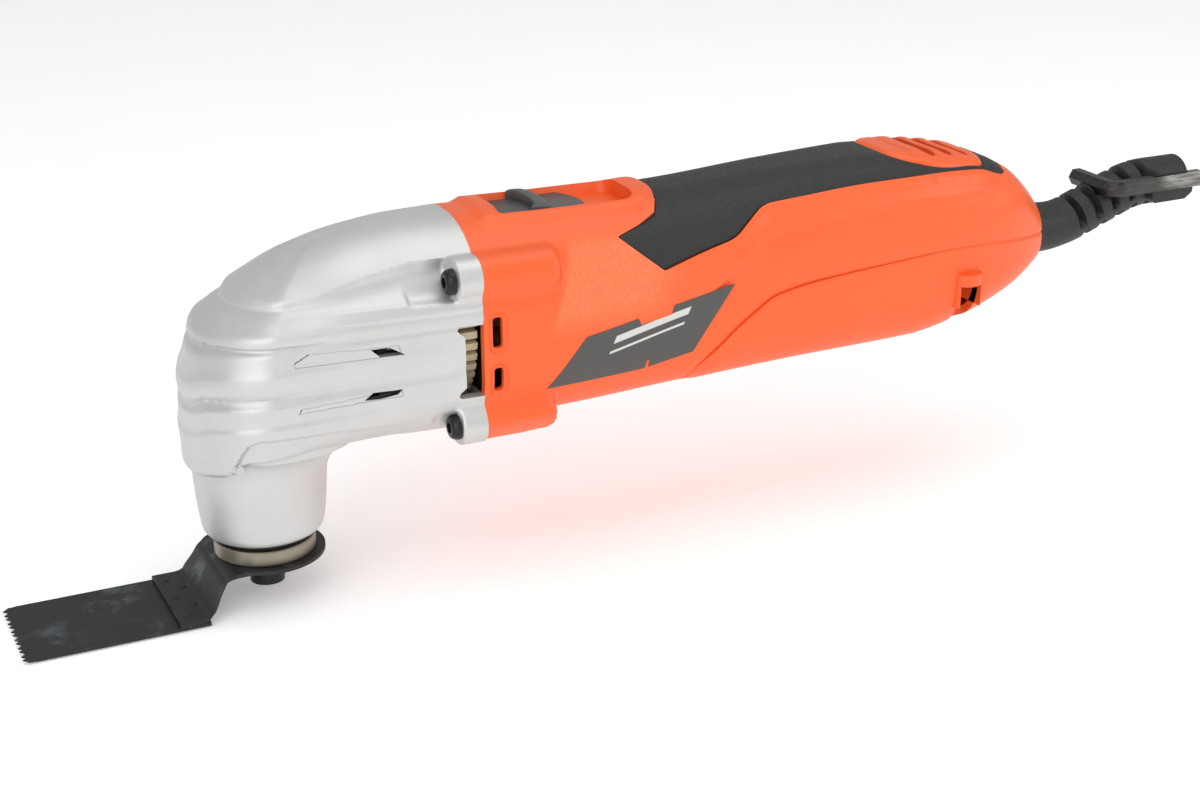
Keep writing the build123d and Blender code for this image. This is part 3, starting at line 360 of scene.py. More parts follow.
def head_grid(column_count, upper_rows, lower_rows, inset=0.0):
    """Right half of the head without its bosses: columns from the joint to the nose, rows from the top."""
    share = np.linspace(0, 1, column_count)
    straight = share < 0.6
    end_half = joint_half - inset
    side_half = nose_half - inset
    angle = np.clip((share - 0.6) / 0.4, 0, 1) * pi / 2
    belt_x = np.where(straight, joint_x * (1 - share / 0.6), (nose_x + inset) * np.sin(angle))
    belt_y = np.where(straight, end_half + (side_half - end_half) * share / 0.6, side_half * np.cos(angle))
    ridge_x = 19 + 39 * (np.maximum(belt_x - nose_x, 0) / (joint_x - nose_x)) ** 2.2
    fall = flow(ridge_x, (19, 32, 45, 58), (1, 0.33, 0.02, 0))
    lean = flow(belt_x, (-20.7, -12, 0, 20, 58), (1, 0.93, 0.62, 0.25, 0))
    # upper rows follow the round shoulder of the joint and, at the nose, the dome and its bands
    length = (joint_half - shoulder_r) + shoulder_r * pi / 2 + (joint_top - shoulder_r - belt_z)
    step = np.linspace(0, 1, upper_rows) * length
    flat = joint_half - shoulder_r
    bend = np.clip((step - flat) / shoulder_r, 0, pi / 2)
    down = np.maximum(step - flat - shoulder_r * pi / 2, 0)
    joint_out = (np.minimum(step, flat) + shoulder_r * np.sin(bend)) / joint_half
    joint_z = joint_top - shoulder_r * (1 - np.cos(bend)) - down
    nose_z = np.interp(joint_z, (50, 66.0, 92.9), (50, 66.0, 89.0))
    nose_out = np.interp(nose_z, (50, 54.3, 58.5, 62.4, 66, 70.3, 73.2, 74.6, 75.4, 78.4, 81.8, 85.2, 87.8,
                                  89),
                         (1, .985, .960, .937, .912, .852, .765, .705, .675, .622, .469, .293, .12, 0))
    out = joint_out[:, None] * (1 - lean) + nose_out[:, None] * lean
    upper = np.empty((upper_rows, column_count, 3))
    upper[:, :, 0] = ridge_x + (belt_x - ridge_x) * out
    upper[:, :, 1] = belt_y * out
    upper[:, :, 2] = joint_z[:, None] * (1 - fall) + nose_z[:, None] * fall
    upper[:, :, 2] -= inset * np.cos(np.linspace(0, pi / 2, upper_rows))[:, None]
    # lower rows go down the side, round the belly and in to the middle or to the neck
    corner = flow(belt_x, (-20.6, -4, 14, 40, 58), (1.2, 2.2, 9.0, 16.0, belly_r - 1))
    under_z = flow(belt_x, (-20.6, -17, -13.5, -7.5, 20, 58),
                   (28.6, 30.2, 31.4, 34.6, 34.2, joint_bottom)) + inset
    turn_angle = np.interp(-belt_x, (-22, 0, -nose_x), (0, pi / 2, pi))
    inner_x = np.where(belt_x > 22, 16 + (belt_x - 22) * (joint_x - 16) / (joint_x - 22),
                       16 * np.cos(turn_angle))
    inner_y = np.where(belt_x > 22, 0, 16 * np.sin(turn_angle))
    side_length = belt_z - under_z - corner
    inward = np.hypot(belt_x - inner_x, belt_y - inner_y)
    flat_length = np.maximum(inward - corner, 0.5)
    total = side_length + corner * pi / 2 + flat_length
    step = np.linspace(0, 1, lower_rows + 1)[1:, None] * total
    bend = np.clip((step - side_length) / corner, 0, pi / 2)
    rest = np.maximum(step - side_length - corner * pi / 2, 0)
    fallen = np.minimum(step, side_length) + corner * np.sin(bend)
    gone = (corner * (1 - np.cos(bend)) + rest) / inward
    level = belt_z - fallen
    lower = np.empty((lower_rows, column_count, 3))
    lower[:, :, 0] = belt_x + (inner_x - belt_x) * gone
    lower[:, :, 1] = belt_y + (inner_y - belt_y) * gone
    lower[:, :, 2] = level
    return np.concatenate([upper, lower])


crease_z = 75.0               # edge between the long screw channels and the side walls
band_height = 1.35
slot_outlines = (((25.9, 64.2), (31.0, 64.3), (35.5, 61.7), (28.5, 61.8)),
                 ((25.9, 52.0), (34.3, 51.8), (32.9, 50.5), (27.9, 49.9), (23.3, 50.1)))


def nose_bands(points):
    """Height of the rounded bands that run round the nose and climb a little towards the sides."""
    x, z = points[:, 0], points[:, 2]
    climb = np.interp(x, (-21, -17, -12, -4, 51), (0.0, 3.6, 4.9, 5.4, 6.6))
    level = z - climb * np.interp(z, (66, 74), (1, 0.2))
    shape = np.interp(level, (33, 37.0, 39.6, 41.0, 43.6, 46.0, 47.0, 48.2, 49.2, 50.4, 52.4, 54.4, 55.8,
                              57.2, 60.0, 61.4, 62.4, 63.4, 66.0, 69.0, 72.0),
                      (0.25, 0.45, 0.55, 0.2, 0.15, 0.1, -0.45, -0.8, -0.3, 0.1, 0.45, 0.5, 0.2,
                       0.05, -0.1, -0.75, -0.7, 0.15, 0.5, 0.25, 0.0))
    fade = np.interp(x, (-12, 4, 18, 36, 52), (1.0, 0.8, 0.45, 0.3, 0.25)) * smooth(z, 73.5, 70.5)
    return band_height * shape * fade


def head_form(points, height):
    """Distance to the casting, where height is the distance to its plain body."""
    x, z = points[:, 0], points[:, 2]
    form = height - nose_bands(points)
    # a flat lip under the crease, and the channel above it that leads to the upper screw
    form = form - 0.45 * smooth(z, 71.2, 72.0) * smooth(z, crease_z + 0.5, crease_z - 0.2) * smooth(x, 2, 20)
    crest = np.interp(x, (-9, 2, 14, 25, 41, 58), (76.0, 77.2, 79.4, 82.0, 85.0, 85.4))
    share = np.clip((z - crease_z) / (crest - crease_z), 0, 1)
    hollow = np.interp(x, (-12, -6, 6, 20, 30, 42, 50.2, 50.6), (0.0, 0.3, 0.6, 1.1, 1.9, 2.9, 3.3, 0.0))
    form = form + hollow * np.sin(pi * share)
    # below the ledge the side steps in and runs down to the neck
    ledge = np.interp(x, (-20.6, -14.0, -13.0, -9.0, -6.0, 15, 34), (28, 31.6, 33.0, 40.6, 42.2, 42.0, 40.5))
    step_in = np.interp(x, (-14, -11, -2, 15, 34, 40), (0.0, 1.5, 1.1, 0.8, 0.4, 0.0))
    form = form + step_in * smooth(z, ledge + 0.5, ledge - 0.5)
    for y, z0 in boss_spots:
        form = joined(form, bar_x(points, boss_r, y, z0, boss_face_x, joint_x + 9, 1.0), 1.6)
    form = carved(form, bar_x(points, 5.0, 26.4, 79.7, 38, boss_face_x, 0.4), 1.4)
    form = carved(form, bar_x(points, 4.6, 27.6, 37.2, 44, boss_face_x, 0.4), 0.8)
    return form


def whole_head(column_count, upper_rows, lower_rows, inset, formed):
    """Closed body of the head: both halves, the joint face and the round hole over the neck."""
    grid = head_grid(column_count, upper_rows, lower_rows, inset)
    rows = grid.shape[0]
    points = grid.reshape(-1, 3)
    if formed:
        normals = grid_normals(grid).reshape(-1, 3)
        outward = np.sign(np.sum(normals * (points - (20, 0, 55)), axis=1, keepdims=True))
        moved = settle(points, normals * np.where(outward == 0, 1, outward), head_form)
        moved[:, 0] = np.minimum(moved[:, 0], joint_x)
        keep = points[:, 1] < 0.05
        moved[keep, 1] = 0
        ends = np.zeros((rows, column_count), bool)
        ends[-12:, :] = True
        ends[:, 0] = False
        points = np.where(ends.reshape(-1, 1), points, moved)
        points[::column_count, 0] = joint_x
    faces = grid_faces(rows, column_count)
    count = len(points)
    mirrored = points * (1, -1, 1)
    ring = [(rows - 1) * column_count + j for j in range(column_count)]
    front = [i * column_count for i in range(rows)]
    all_points = np.concatenate([points, mirrored])
    all_faces = [tuple(f) for f in faces] + [tuple(f[::-1] + count) for f in faces]
    all_faces.append(tuple(front) + tuple(i + count for i in front[::-1][1:-1]))
    centre = len(all_points)
    all_points = np.concatenate([all_points, [(0, 0, 28.0)]])
    for a, b in zip(ring[:-1], ring[1:]):
        if points[b][1] > 1e-6 or points[a][1] > 1e-6:
            all_faces.append((a, b, centre))
            all_faces.append((b + count, a + count, centre))
    body = raw_object("head_body", all_points, all_faces)
    tidy_mesh(body)
    return body


def neck_object():
    """Round neck, flared at the back where it runs into the underside."""
    around = 96
    profile = ((0, 6.5), (14.4, 6.5), (15.6, 6.6), (16.5, 7.1), (17.1, 8.0), (17.5, 9.4), (17.9, 12.5),
               (18.3, 16), (18.6, 20), (18.8, 23), (18.9, 26), (19.0, 29), (19.0, 31), (19, 32.5), (19, 33.6),
               (19, 34.4), (19, 38.0), (0, 38.0))
    flare = {26: 0.3, 29: 1.6, 31: 3.0, 32.5: 4.7, 33.6: 6.4, 34.4: 8.4, 38.0: 8.4}
    points = []
    for r, z in profile:
        for k in range(around):
            angle = 2 * pi * k / around
            back = float(np.interp(cos(angle), (-0.6, -0.2, 0.3, 0.8), (0.0, 0.45, 0.62, 1.0)))
            wide = r + flare.get(z, 0.0) * back if r else 0.0
            points.append((wide * cos(angle), wide * sin(angle), z))
    faces = [(i * around + k, i * around + (k + 1) % around, (i + 1) * around + (k + 1) % around,
              (i + 1) * around + k) for i in range(len(profile) - 1) for k in range(around)]
    made = raw_object("neck", points, faces)
    tidy_mesh(made)
    return made


def round_object(name, r, low, high, axis, centre=(0, 0), sides=48):
    """A round bar along one axis, for cutting."""
    outline = [(centre[0] + r * cos(2 * pi * k / sides), centre[1] + r * sin(2 * pi * k / sides))
               for k in range(sides)]
    return prism_object(name, outline, low, high, axis)


head = whole_head(170, 132, 78, 0.0, True)
combine(head, [neck_object()], "UNION")
shell_points = np.array([tuple(v.co) for v in head.data.vertices]) / MM


def skin_y(x, z):
    """How far out the casting's side lies at x and z."""
    near = np.argsort((shell_points[:, 0] - x) ** 2 + (shell_points[:, 2] - z) ** 2)[:8]
    return float(np.abs(shell_points[near, 1]).max())


room = whole_head(48, 34, 22, 2.6, False)
combine(room, [round_object("channel_wall", 7.8, -30, boss_face_x + 2, 0, (side * 26.6, 79.7))
               for side in (1, -1)],
        "DIFFERENCE")
cutters = [room, round_object("bearing_room", 14.3, 0, 40, 2)]
for side in (1, -1):
    low, high = sorted((side * 17.0, side * 36.0))
    window = [(50.4, 47.0), (51.2, 46.2), (joint_x + 1, 46.2), (joint_x + 1, 67.2), (51.2, 67.2),
              (50.4, 66.4),
              (50.9, 65.6), (52.6, 64.2), (52.6, 49.4), (50.9, 48.0)]
    cutters.append(prism_object("window", window, low, high, 1))
    cutters += [prism_object("slot", outline, low, high, 1) for outline in slot_outlines]
    for z_front, z_back, reach in (((61.9, 65.2), (61.9, 64.3), 1.5), ((49.0, 50.1), (50.0, 51.9), 1.2)):
        skin = [skin_y(x, (z_front[0] + z_front[1]) / 2) for x in (5, 34)]
        corners = [(x, side * y, z) for x, y_in, zs in ((5, skin[0], z_front), (34, skin[1] - reach, z_back))
                   for y in (y_in, 40) for z in zs]
        cutters.append(raw_object("air_channel", corners,
                                  [(0, 1, 3, 2), (4, 6, 7, 5), (0, 4, 5, 1), (2, 3, 7, 6),
                                                           (0, 2, 6, 4), (1, 5, 7, 3)]))
combine(head, cutters, "DIFFERENCE")
tidy_mesh(head, 0.001)

casting = Finish("cast_aluminium", roughness=0.42, metallic=0.6)
sparkle = casting.noise(0.5, 2.0)
shade = casting.noise(14.0, 3.0)
casting.colour((sparkle * 0.5 + shade * 0.5).mix((0.52, 0.53, 0.52, 1), (0.68, 0.69, 0.68, 1)))
casting.drive("Roughness", 0.38 + sparkle.between(0.3, 0.7) * 0.14)
casting.bump(casting.noise(0.7, 4.0), 0.03, 0.5)
finish_piece(head, "gear_head_skin", casting, "tool", ["gear_head"])


# ------------------------------------------------------------------ motor housing
# The orange front and upper shell, moulded in one: plinth with the switch recess, four screw towers in
# line with the head's bosses, a bed for the rubber grip with a raised border, and the louvres on top.
stations = np.array((
    # x, top, bottom, half width, shoulder radius, belly radius
    (58.0, 92.9, 32.5, 28.6, 26.0, 19.0), (92.0, 92.0, 33.6, 27.6, 24.5, 17.0),
    (122.0, 91.9, 35.0, 25.5, 22.5, 14.0), (165.0, 93.9, 36.8, 24.5, 20.0, 12.0),
    (204.0, 95.0, 37.3, 24.5, 18.5, 12.0), (224.0, 92.6, 40.2, 23.6, 17.0, 12.0),
    (236.0, 89.4, 43.0, 21.6, 16.0, 12.0), (245.0, 85.2, 45.8, 18.8, 14.0, 11.0),
    (252.5, 79.0, 48.6, 15.4, 12.0, 10.0), (257.6, 73.4, 50.8, 12.6, 10.4, 9.4)))
tail_x = stations[-1, 0]
shell_wall = 2.4


def section(x):
    """Top, bottom, half width and both radii of the housing at x."""
    return [flow(x, stations[:, 0], stations[:, i]) for i in range(1, 6)]


def half_girth(x):
    """Length round one side of the housing, from the top middle to the bottom middle."""
    top, bottom, half, top_r, belly = section(x)
    return half - top_r + top_r * pi / 2 + top - top_r - bottom - belly + belly * pi / 2 + half - belly


def on_housing(spots):
    """Points of the plain housing at (x, way down its side from the top middle); right side is -Y."""
    x, down = spots[:, 0], np.abs(spots[:, 1])
    top, bottom, half, top_r, belly = section(x)
    a = half - top_r
    b = a + top_r * pi / 2
    c = b + top - top_r - bottom - belly
    d = c + belly * pi / 2
    upper = np.clip((down - a) / top_r, 0, pi / 2)
    lower = np.clip((down - c) / belly, 0, pi / 2)
    y = np.minimum(down, a) + top_r * np.sin(upper) - belly * (1 - np.cos(lower)) - np.maximum(down - d, 0)
    z = top - top_r * (1 - np.cos(upper)) - np.clip(down - b, 0, c - b) - belly * np.sin(lower)
    return np.stack([x, -y * np.where(spots[:, 1] < 0, -1, 1), z], 1)


def housing_normals(spots):
    """Unit normals of the plain housing, from small steps along it."""
    nudge = 0.05
    along = on_housing(spots + (nudge, 0)) - on_housing(spots - (nudge, 0))
    lift = np.where(np.abs(spots[:, 1:]) < 2 * nudge, 2 * nudge, 0) * np.where(spots[:, 1:] < 0, -1, 1)
    base = spots + np.concatenate([0 * lift, lift], 1)
    across = on_housing(base + (0, nudge)) - on_housing(base - (0, nudge))
    normals = np.cross(across, along)
    return normals / np.maximum(np.linalg.norm(normals, axis=1, keepdims=True), 1e-9)


def from_side(x, z):
    """Way down the side at which the housing has height z."""
    top, bottom, half, top_r, belly = section(x)
    a = half - top_r
    b = a + top_r * pi / 2
    c = b + top - top_r - bottom - belly
    shoulder = a + top_r * np.arccos(np.clip((z - top + top_r) / top_r, -1, 1))
    side = b + (top - top_r - z)
    under = c + belly * np.arcsin(np.clip((bottom + belly - z) / belly, -1, 1))
    return np.where(z > top - top_r, shoulder, np.where(z < bottom + belly, under, side))


def from_above(x, y):
    """Way from the top middle at which the housing is y to the side."""
    top, bottom, half, top_r, belly = section(x)
    a = half - top_r
    y = np.asarray(y, float)
    round_part = a + top_r * np.arcsin(np.clip((np.abs(y) - a) / top_r, -1, 1))
    return np.where(np.abs(y) < a, np.abs(y), round_part) * np.where(y < 0, -1, 1)


def soft_line(corners, radii=0.0, pitch=0.8, closed=True):
    """Points along an outline whose corners are rounded by the given radii."""
    corners = [np.array(c, float) for c in corners]
    count = len(corners)
    radii = [radii] * count if np.isscalar(radii) else list(radii)
    ends = []
    for i, corner in enumerate(corners):
        if radii[i] <= 0 or (not closed and i in (0, count - 1)):
            ends.append([corner])
            continue
        before, after = corners[i - 1] - corner, corners[(i + 1) % count] - corner
        cut = min(radii[i], 0.48 * np.linalg.norm(before), 0.48 * np.linalg.norm(after))
        start = corner + before / np.linalg.norm(before) * cut
        stop = corner + after / np.linalg.norm(after) * cut
        steps = max(3, int(2 * cut / pitch) + 2)
        t = np.linspace(0, 1, steps)[:, None]
        ends.append(list((1 - t) ** 2 * start + 2 * t * (1 - t) * corner + t * t * stop))
    points = []
    for i in range(count):
        points += ends[i]
        if i == count - 1 and not closed:
            break
        a, b = ends[i][-1], ends[(i + 1) % count][0]
        steps = int(np.linalg.norm(b - a) / pitch)
        points += [a + (b - a) * k / steps for k in range(1, steps)]
    return np.array(points)


def spots_side(line):
    """An outline seen from the side, (x, z), as places on the housing."""
    return np.stack([line[:, 0], from_side(line[:, 0], line[:, 1])], 1)


def spots_above(line):
    """An outline seen from above, (x, y), as places on the housing."""
    return np.stack([line[:, 0], from_above(line[:, 0], line[:, 1])], 1)


def inside(points, loop):
    """Whether each point is inside a closed outline."""
    hit = np.zeros(len(points), bool)
    for a, b in zip(loop, np.roll(loop, -1, 0)):
        crosses = (a[1] > points[:, 1]) != (b[1] > points[:, 1])
        if a[1] != b[1]:
            at = a[0] + (points[:, 1] - a[1]) * (b[0] - a[0]) / (b[1] - a[1])
            hit ^= crosses & (points[:, 0] < at)
    return hit


def away(points, line, closed=True):
    """Distance of each point from an outline."""
    starts, stops = (line, np.roll(line, -1, 0)) if closed else (line[:-1], line[1:])
    best = np.full(len(points), 1e9)
    for a, b in zip(starts, stops):
        run = b - a
        t = np.clip(((points - a) @ run) / max(run @ run, 1e-12), 0, 1)
        best = np.minimum(best, np.linalg.norm(points - a - t[:, None] * run, axis=1))
    return best


def meshed(outline, holes, lines, pitch, rings=(0.25, 0.55, 0.95, 1.5)):
    """Triangles over a flat outline with holes; points crowd along its edges and along other lines."""
    from mathutils.geometry import delaunay_2d_cdt
    points, edges = [], []
    for loop in [outline, *holes]:
        first = len(points)
        points += [tuple(p) for p in loop]
        edges += [(first + k, first + (k + 1) % len(loop)) for k in range(len(loop))]
    crowded = [(loop, True) for loop in [outline, *holes]] + [(line, False) for line in lines]
    extra = []
    for line, closed in crowded:
        run = np.roll(line, -1, 0) - np.roll(line, 1, 0)
        side = np.stack([-run[:, 1], run[:, 0]], 1) / np.maximum(np.linalg.norm(run, axis=1), 1e-9)[:, None]
        offsets = list(rings) + [-r for r in rings] + ([] if closed else [0.0])
        extra += [line[1:-1] + side[1:-1] * off for off in offsets]
    extra = np.concatenate(extra) if extra else np.empty((0, 2))
    low, high = outline.min(0), outline.max(0)
    rows = np.arange(low[1] + pitch / 2, high[1], pitch * 0.87)
    field = np.array([(x + (pitch / 2 if k % 2 else 0), y) for k, y in enumerate(rows)
                      for x in np.arange(low[0], high[0], pitch)])
    gap = np.full(len(field), 1e9)
    for line, closed in crowded:
        gap = np.minimum(gap, away(field, line, closed))
    field = field[gap > rings[-1] + pitch * 0.5]
    free = np.concatenate([extra, field])
    margin = np.full(len(free), 1e9)
    kept = inside(free, outline)
    for loop in holes:
        kept &= ~inside(free, loop)
    for loop in [outline, *holes]:
        margin = np.minimum(margin, away(free, loop))
    free = free[kept & (margin > 0.12)]
    free = free[np.unique(np.round(free / 0.2).astype(int), axis=0, return_index=True)[1]]
    flat = [Vector(p) for p in points + [tuple(p) for p in free]]
    verts, _, faces, *_ = delaunay_2d_cdt(flat, edges, [], 0, 1e-5)
    verts = np.array([tuple(v) for v in verts])
    faces = np.array([f for f in faces if len(f) == 3])
    middle = verts[faces].mean(1)
    good = inside(middle, outline)
    for loop in holes:
        good &= ~inside(middle, loop)
    return verts, faces[good]


def walled(name, outer, inner, faces, on_middle=None):
    """A closed skin from its outer and inner points; with a middle, the left half is added."""
    border = {}
    for f in faces:
        for a, b in ((f[0], f[1]), (f[1], f[2]), (f[2], f[0])):
            border[(a, b)] = True
    border = [(a, b) for a, b in border if (b, a) not in border]
    count = len(outer)
    if on_middle is not None:
        outer[on_middle, 1] = 0
        inner[on_middle, 1] = 0
        border = [(a, b) for a, b in border if not (on_middle[a] and on_middle[b])]
    all_faces = [tuple(f) for f in faces] + [tuple(f[::-1] + count) for f in faces]
    all_faces += [(b, a, a + count, b + count) for a, b in border]
    points = np.concatenate([outer, inner])
    if on_middle is not None:
        all_faces += [tuple(i + 2 * count for i in f[::-1]) for f in all_faces]
        points = np.concatenate([points, points * (1, -1, 1)])
    piece = raw_object(name, points, all_faces)
    tidy_mesh(piece, 0.002)
    return piece


def housing_skin(name, outline, holes, lines, relief, wall=shell_wall, pitch=1.0, half=True):
    """A part of the housing's skin inside an outline, with its relief and its wall."""
    spots, faces = meshed(outline, holes, lines, pitch)
    base, normals = on_housing(spots), housing_normals(spots)
    middle = None
    if half:
        middle = (spots[:, 1] < 1e-3) | (spots[:, 1] > half_girth(spots[:, 0]) - 2e-3)
    depth = wall(spots) if callable(wall) else np.full(len(spots), wall)
    return walled(name, relief(spots, base, normals), base - normals * depth[:, None], faces, middle)


def line_to(start, stop, pitch=0.8):
    """Points from start up to, but not at, stop."""
    start, stop = np.array(start, float), np.array(stop, float)
    steps = max(2, int(np.linalg.norm(stop - start) / pitch))
    return start + (stop - start) * (np.arange(steps) / steps)[:, None]


def bottom_line(x0, x1):
    """Points along the bottom middle, up to but not at x1."""
    line = line_to((x0, 0), (x1, 0))
    return np.stack([line[:, 0], half_girth(line[:, 0])], 1)


seam = soft_line([(124.5, 35.1), (126.3, 40.9), (141.0, 52.9), (152.5, 60.2), (163.0, 62.3), (178.6, 63.7),
                  (211.7, 66.0), (229.4, 65.7), (tail_x, 63.2)], (0, 4, 5, 2.5, 5, 6, 6, 6, 0), 0.8,
                 closed=False)
seam_spots = spots_side(seam)
grip_front = soft_line([(120.2, 0), (120.2, 9), (116.5, 15.6)], 7.0, 0.8, closed=False)
grip_low = soft_line([(110.4, 86.2), (102.6, 84.3), (115.2, 73.7), (127.5, 77.0), (139.6, 79.6),
                      (144.5, 83.2), (150.5, 87.0), (182.7, 89.0), (212.8, 89.4), (229, 88.0), (238.2, 85.2)],
                     (0, 0.6, 0.8, 4, 5, 4, 8, 8, 8, 6, 0), 0.8, closed=False)
grip_back = soft_line([(241.0, 13.0), (242.0, 6), (242.4, 0)], 3.0, 0.8, closed=False)
grip_edge = np.concatenate([spots_above(grip_front), spots_side(grip_low), spots_above(grip_back)])
panel_half = soft_line([(198.5, 0), (198.5, 9), (203.0, 13.8), (210.5, 16.8), (218, 17.0), (232.2, 14.4),
                        (233.8, 8),
                        (233.8, 0)], (0, 6, 7, 6, 8, 5, 4, 0), 0.8, closed=False)
panel_spots = spots_above(panel_half)
recess = soft_line([(70.6, 0), (70.6, 10.4), (113.5, 10.4), (113.5, 0)], (0, 1.4, 7.5, 0), 0.8, closed=False)
recess_spots = spots_above(recess)
plinth = soft_line([(64.0, -12), (68.0, -13.6), (121.5, -14.2), (121.5, 14.2), (68.0, 13.6), (64.0, 12)],
                   (3, 4, 13, 13, 4, 3), 0.8)
plinth_spots = spots_above(plinth)
slots = [spots_side(soft_line([(61.0, 59.4), (64.0, 59.4), (64.0, 68.4), (61.0, 68.4)], 1.1, 0.5)),
         spots_side(soft_line([(61.2, 46.3), (64.0, 46.3), (64.0, 53.5), (61.2, 53.5)], 1.1, 0.5))]
towers = ((23.5, 79.5, 82.0), (24.0, 37.5, 80.0))


def housing_relief(spots, base, normals):
    """Raised and sunk features of the orange housing."""
    def form(points, height):
        body = height
        for y, z, end in towers:
            body = joined(body, bar_x(points, boss_r, y, z, joint_x - 6, end, 2.6), 2.0)
        return body

    outer = settle(base, normals, form, reach=6.0, steps=40)
    x, down = spots[:, 0], np.abs(spots[:, 1])
    from_plinth = away(spots, plinth_spots) * np.where(inside(spots, plinth_spots), 1, -1)
    nose = smooth(x, 110, 118) * smooth(down, 15, 6)
    lift = (0.9 + 0.9 * nose) * smooth(from_plinth, -0.9, 2.0)
    lift = lift + 0.5 * smooth(from_plinth, 1.4, 2.4) * (1 - nose)
    edge_gap = away(spots, grip_edge[grip_edge[:, 1] > 12.5], closed=False)
    lift = lift + 0.75 * smooth(edge_gap, 3.4, 2.4) * smooth(x, 236, 228) * smooth(x, 108, 118)
    # the bevel below the grip and the one over the rear cover
    bevel = from_side(x, flow(x, (128, 140, 150, 157, 195, 235), (62, 71, 78.4, 80.4, 82.2, 82.4)))
    below = down - bevel
    run = smooth(x, 124, 136) * smooth(x, 244, 232)
    lift = lift - 0.8 * smooth(below, -0.6, 0.8) * smooth(below, 15, 3) * run
    seam_gap = away(spots, seam_spots, closed=False)
    lift = lift - 0.7 * smooth(seam_gap, 3.4, 0.4) * smooth(x, 240, 150) * smooth(x, 124, 134)
    lift = lift - 0.35 * smooth(seam_gap, 0.45, 0.1)
    for slot in slots:
        lift = lift - 0.9 * smooth(away(spots, slot), 1.5, 0.7)
    return outer + normals * lift[:, None]




def bottom_at(x):
    """Way from the top middle to the bottom middle at x."""
    return float(half_girth(np.array([float(x)]))[0])


seam_x = seam_spots[0, 0]
tail_low = seam_spots[-1, 1]
housing_outline = np.concatenate([
    line_to((joint_x, 0), recess_spots[0]), recess_spots[:-1], line_to(recess_spots[-1], grip_edge[0]),
    grip_edge[:-1], line_to(grip_edge[-1], (tail_x, 0)), line_to((tail_x, 0), (tail_x, tail_low)),
    seam_spots[::-1][:-1], line_to(seam_spots[0], (seam_x, bottom_at(seam_x))), bottom_line(seam_x, joint_x),
    line_to((joint_x, bottom_at(joint_x)), (joint_x, 0))])
plastic = Finish("orange_plastic", roughness=0.42, coat=0.0, specular=0.5)


def housing_wall(spots):
    """Wall thickness, more round the switch recess so that its rim looks solid."""
    return shell_wall + 1.8 * smooth(away(spots, recess_spots, False), 2.4, 0.6)


housing = housing_skin("motor_housing_skin", housing_outline, slots, [plinth_spots[plinth_spots[:, 1] > 0.5]],
                       housing_relief, wall=housing_wall)
# what the skin needs behind it: bed under the grip, tray under the slider, louvres
grip_outline = np.concatenate([grip_edge[:-1], line_to(grip_edge[-1], panel_spots[-1]),
                               panel_spots[::-1][:-1],
                               line_to(panel_spots[0], grip_edge[0])])
bed = housing_skin("grip_bed", grip_outline, [], [], lambda spots, base, normals: base - 1.65 * normals,
                   wall=shell_wall, pitch=2.2)


def bowed_slot(x, reach, width):
    """A slot across the top that bends back towards its ends."""
    side = np.linspace(-reach, reach, 30)
    lean = 1.4 * (side / reach) ** 2
    half = width / 2 * np.sqrt(np.clip(1 - np.abs(side / reach) ** 6, 0, 1))
    front = np.stack([x + lean - half, side], 1)
    back = np.stack([x + lean + half, side], 1)[::-1]
    return spots_above(np.concatenate([front, back[1:-1]]))


louvre_slots = [bowed_slot(213.0 + 6.6 * k, 12.6 - 0.9 * k, 3.9) for k in range(3)]
louvre_groove = spots_above(np.stack([205.8 + 1.4 * (np.linspace(-1, 1, 30)) ** 2,
                                      np.linspace(-11.5, 11.5, 30)], 1))
panel_outline = np.concatenate([panel_spots[:-1], (panel_spots * (1, -1))[::-1][:-1]])


def louvre_relief(spots, base, normals):
    """The louvre panel stands over the grip, with soft ribs between its slots."""
    lift = -0.3 + 0.85 * np.sqrt(smooth(away(spots, panel_outline), 0, 1.7))
    for slot in louvre_slots:
        lift = lift - 0.45 * smooth(away(spots, slot), 1.1, 0.0)
    lift = lift - 0.6 * smooth(away(spots, louvre_groove, False), 1.3, 0.2)
    return base + normals * lift[:, None]


louvres = housing_skin("louvres", panel_outline, louvre_slots, [louvre_groove], louvre_relief, half=False)
tray = prism_object("tray", np.concatenate([recess + (0.0, 0.6), (recess * (1, -1))[::-1] - (0.0, 0.6)]),
                    87.5, 88.9, 2)
combine(tray, [box_object("stem_room", (85.7, -3.3, 80), (100.3, 3.3, 95))], "DIFFERENCE")

orange = (0.88, 0.125, 0.022, 1)
grain = plastic.noise(0.55, 2.0)
patches = plastic.noise(30.0, 2.0)
tone = (patches * 0.6 + grain.between(0.35, 0.65) * 0.4).mix((0.84, 0.106, 0.017, 1), orange)
height, length, side = plastic.along(2), plastic.along(0), plastic.along(1)
leaning = length - height * 0.35
shoulder = leaning.between(56, 59) * (1 - leaning.between(84, 98))
shoulder = shoulder * height.between(58, 68) * (1 - height.between(82, 87))
plastic.colour((shoulder * (0.45 + 0.55 * grain.between(0.4, 0.6))).mix(tone, (0.93, 0.20, 0.075, 1)))
plastic.drive("Roughness", 0.36 + shoulder * 0.2 + grain.between(0.3, 0.7) * 0.06)
plastic.bump(grain * (0.3 + shoulder * 1.4), 0.035, 0.6)


def joined_piece(parts):
    """Several closed meshes as one object; the first keeps its name."""
    points, faces, start = [], [], 0
    for part in parts:
        count = len(part.data.vertices)
        co = np.empty(count * 3)
        part.data.vertices.foreach_get("co", co)
        points.append(co.reshape(-1, 3) / MM)
        faces += [tuple(i + start for i in p.vertices) for p in part.data.polygons]
        start += count
    name = parts[0].name
    for part in parts:
        bpy.data.objects.remove(part)
    return raw_object(name, np.concatenate(points), faces)


finish_piece(joined_piece([housing, bed, louvres, tray]), "motor_housing_skin", plastic, "tool",
             ["motor_housing"])


